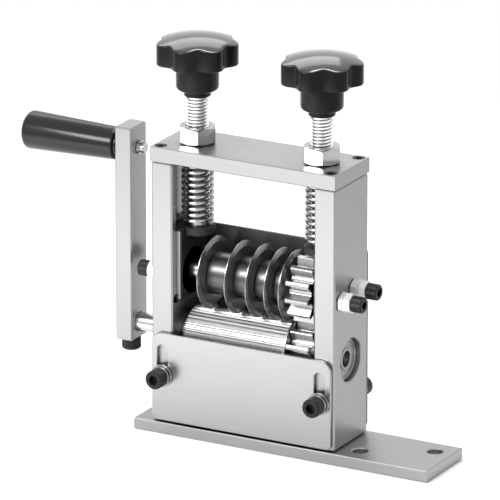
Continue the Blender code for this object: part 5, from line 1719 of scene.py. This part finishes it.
class STRIPPER_OT_studio(bpy.types.Operator):
    """Pale floor, soft lamps, white surroundings and the camera"""

    bl_idname = "stripper.studio"
    bl_label = "Studio"

    def execute(self, context):
        scene = context.scene
        scene.view_settings.view_transform = "Standard"
        studio = scene.stripper_studio
        self.floor()
        self.surroundings(scene, studio)
        target = Vector(studio.target)
        for name, power, size, place, aim in (
            ("key", studio.key, (0.28, 0.28), (-0.16, -0.4, 0.34), (-0.16, -0.38, 0)),
            ("top", studio.top, (0.42, 0.42), (-0.05, 0.25, 1.1), (-0.02, 0, 0.1)),
            ("rear", studio.rear, (0.7, 0.3), (-0.47, 0.5, 0.7), (-0.04, 0, 0.17)),
        ):
            self.lamp(name, power, size, Vector(place), Vector(aim))
        turn = Vector(
            (
                math.sin(studio.azimuth) * math.cos(studio.elevation),
                -math.cos(studio.azimuth) * math.cos(studio.elevation),
                math.sin(studio.elevation),
            )
        )
        data = bpy.data.cameras.new("camera")
        data.sensor_width = 36
        data.lens = studio.lens
        data.clip_start = 0.1
        data.clip_end = 50
        camera = bpy.data.objects.new("camera", data)
        camera.location = target + turn * studio.distance
        camera.rotation_euler = (-turn).to_track_quat("-Z", "Y").to_euler()
        scene.collection.objects.link(camera)
        scene.camera = camera
        return {"FINISHED"}

    def floor(self):
        """A wide floor that keeps the tool's soft shadow and fades to white away from it."""
        shape = bmesh.new()
        bmesh.ops.create_grid(shape, x_segments=1, y_segments=1, size=6)
        mesh = bpy.data.meshes.new("floor")
        shape.to_mesh(mesh)
        shape.free()
        material, recipe, shader = new_finish("floor", colours().floor, 0.9, 0.0)
        shader.inputs["Specular IOR Level"].default_value = 0.0
        seen = self.seen_ray(recipe)
        lift = recipe.node("Emission", inputs={"Color": (1, 1, 1, 1), "Strength": FLOOR_LIFT})
        lit = Signal(recipe.tree, shader.outputs[0])
        both = recipe.node("AddShader", inputs={0: lift, 1: lit})
        studio = bpy.context.scene.stripper_studio
        away = recipe.node("VectorMath", {"operation": "LENGTH"}, {0: recipe.spots()}, output="Value")
        white = recipe.node("Emission", inputs={"Color": (1, 1, 1, 1), "Strength": 1.0})
        faded = recipe.node(
            "MixShader", inputs={0: recipe.ramp(away, studio.near, studio.far), 1: both, 2: white}
        )
        choice = recipe.node("MixShader", inputs={0: seen, 1: lit, 2: faded})
        connect(recipe.tree, recipe.tree.nodes["Material Output"].inputs["Surface"], choice)
        mesh.materials.append(material)
        floor = bpy.data.objects.new("floor", mesh)
        bpy.context.scene.collection.objects.link(floor)
        floor.location.z = CAD_BOX[0][2] - GAP

    def seen_ray(self, recipe):
        """1 for a ray from the camera, a mirror or glass."""
        total = None
        for name in ("Is Camera Ray", "Is Glossy Ray", "Is Transmission Ray"):
            ray = recipe.node("LightPath", output=name)
            total = ray if total is None else total + ray
        return total.clamped()

    def surroundings(self, scene, studio):
        """Even light for the tool, and a white background."""
        world = bpy.data.worlds.new("studio")
        scene.world = world
        world.use_nodes = True
        recipe = Recipe(world.node_tree)
        recipe.tree.nodes.clear()
        even = recipe.node("Background", inputs={"Color": (1, 1, 1, 1), "Strength": studio.fill})
        white = recipe.node("Background", inputs={"Color": (1, 1, 1, 1), "Strength": 1.0})
        choice = recipe.node("MixShader", inputs={0: self.seen_ray(recipe), 1: even, 2: white})
        out = recipe.tree.nodes.new("ShaderNodeOutputWorld")
        connect(recipe.tree, out.inputs["Surface"], choice)

    def lamp(self, name, power, size, place, target):
        data = bpy.data.lights.new(name, "AREA")
        data.shape = "RECTANGLE"
        data.size, data.size_y = size
        data.energy = power
        lamp = bpy.data.objects.new(name, data)
        lamp.location = place
        lamp.rotation_euler = (target - place).to_track_quat("-Z", "Y").to_euler()
        bpy.context.scene.collection.objects.link(lamp)


class STRIPPER_PT_panel(bpy.types.Panel):
    """The operators, in the order in which they run"""

    bl_label = "Hand Crank Wire Stripper"
    bl_space_type = "VIEW_3D"
    bl_region_type = "UI"
    bl_category = "Stripper"

    def draw(self, context):
        for step in STEPS:
            self.layout.operator(step.bl_idname)


STEPS = (
    STRIPPER_OT_base_bar,
    STRIPPER_OT_side_plates,
    STRIPPER_OT_top_plate,
    STRIPPER_OT_guide_plates,
    STRIPPER_OT_guide_screws,
    STRIPPER_OT_adjusters,
    STRIPPER_OT_bearings,
    STRIPPER_OT_bearing_blocks,
    STRIPPER_OT_blades,
    STRIPPER_OT_gears,
    STRIPPER_OT_feed_roller,
    STRIPPER_OT_shafts,
    STRIPPER_OT_pressure_screws,
    STRIPPER_OT_pressure_nuts,
    STRIPPER_OT_springs,
    STRIPPER_OT_knobs,
    STRIPPER_OT_crank_arm,
    STRIPPER_OT_handle,
    STRIPPER_OT_studio,
)
GROUPS = (StripperSizes, StripperColours, StripperStudio)
CLASSES = GROUPS + STEPS + (STRIPPER_PT_panel,)


def register():
    for entry in CLASSES:
        bpy.utils.register_class(entry)
    bpy.types.Scene.stripper_sizes = PointerProperty(type=StripperSizes)
    bpy.types.Scene.stripper_colours = PointerProperty(type=StripperColours)
    bpy.types.Scene.stripper_studio = PointerProperty(type=StripperStudio)


def unregister():
    del bpy.types.Scene.stripper_studio
    del bpy.types.Scene.stripper_colours
    del bpy.types.Scene.stripper_sizes
    for entry in reversed(CLASSES):
        bpy.utils.unregister_class(entry)


def main():
    register()
    for step in STEPS:
        group, name = step.bl_idname.split(".")
        getattr(getattr(bpy.ops, group), name)()


if __name__ == "__main__":
    main()
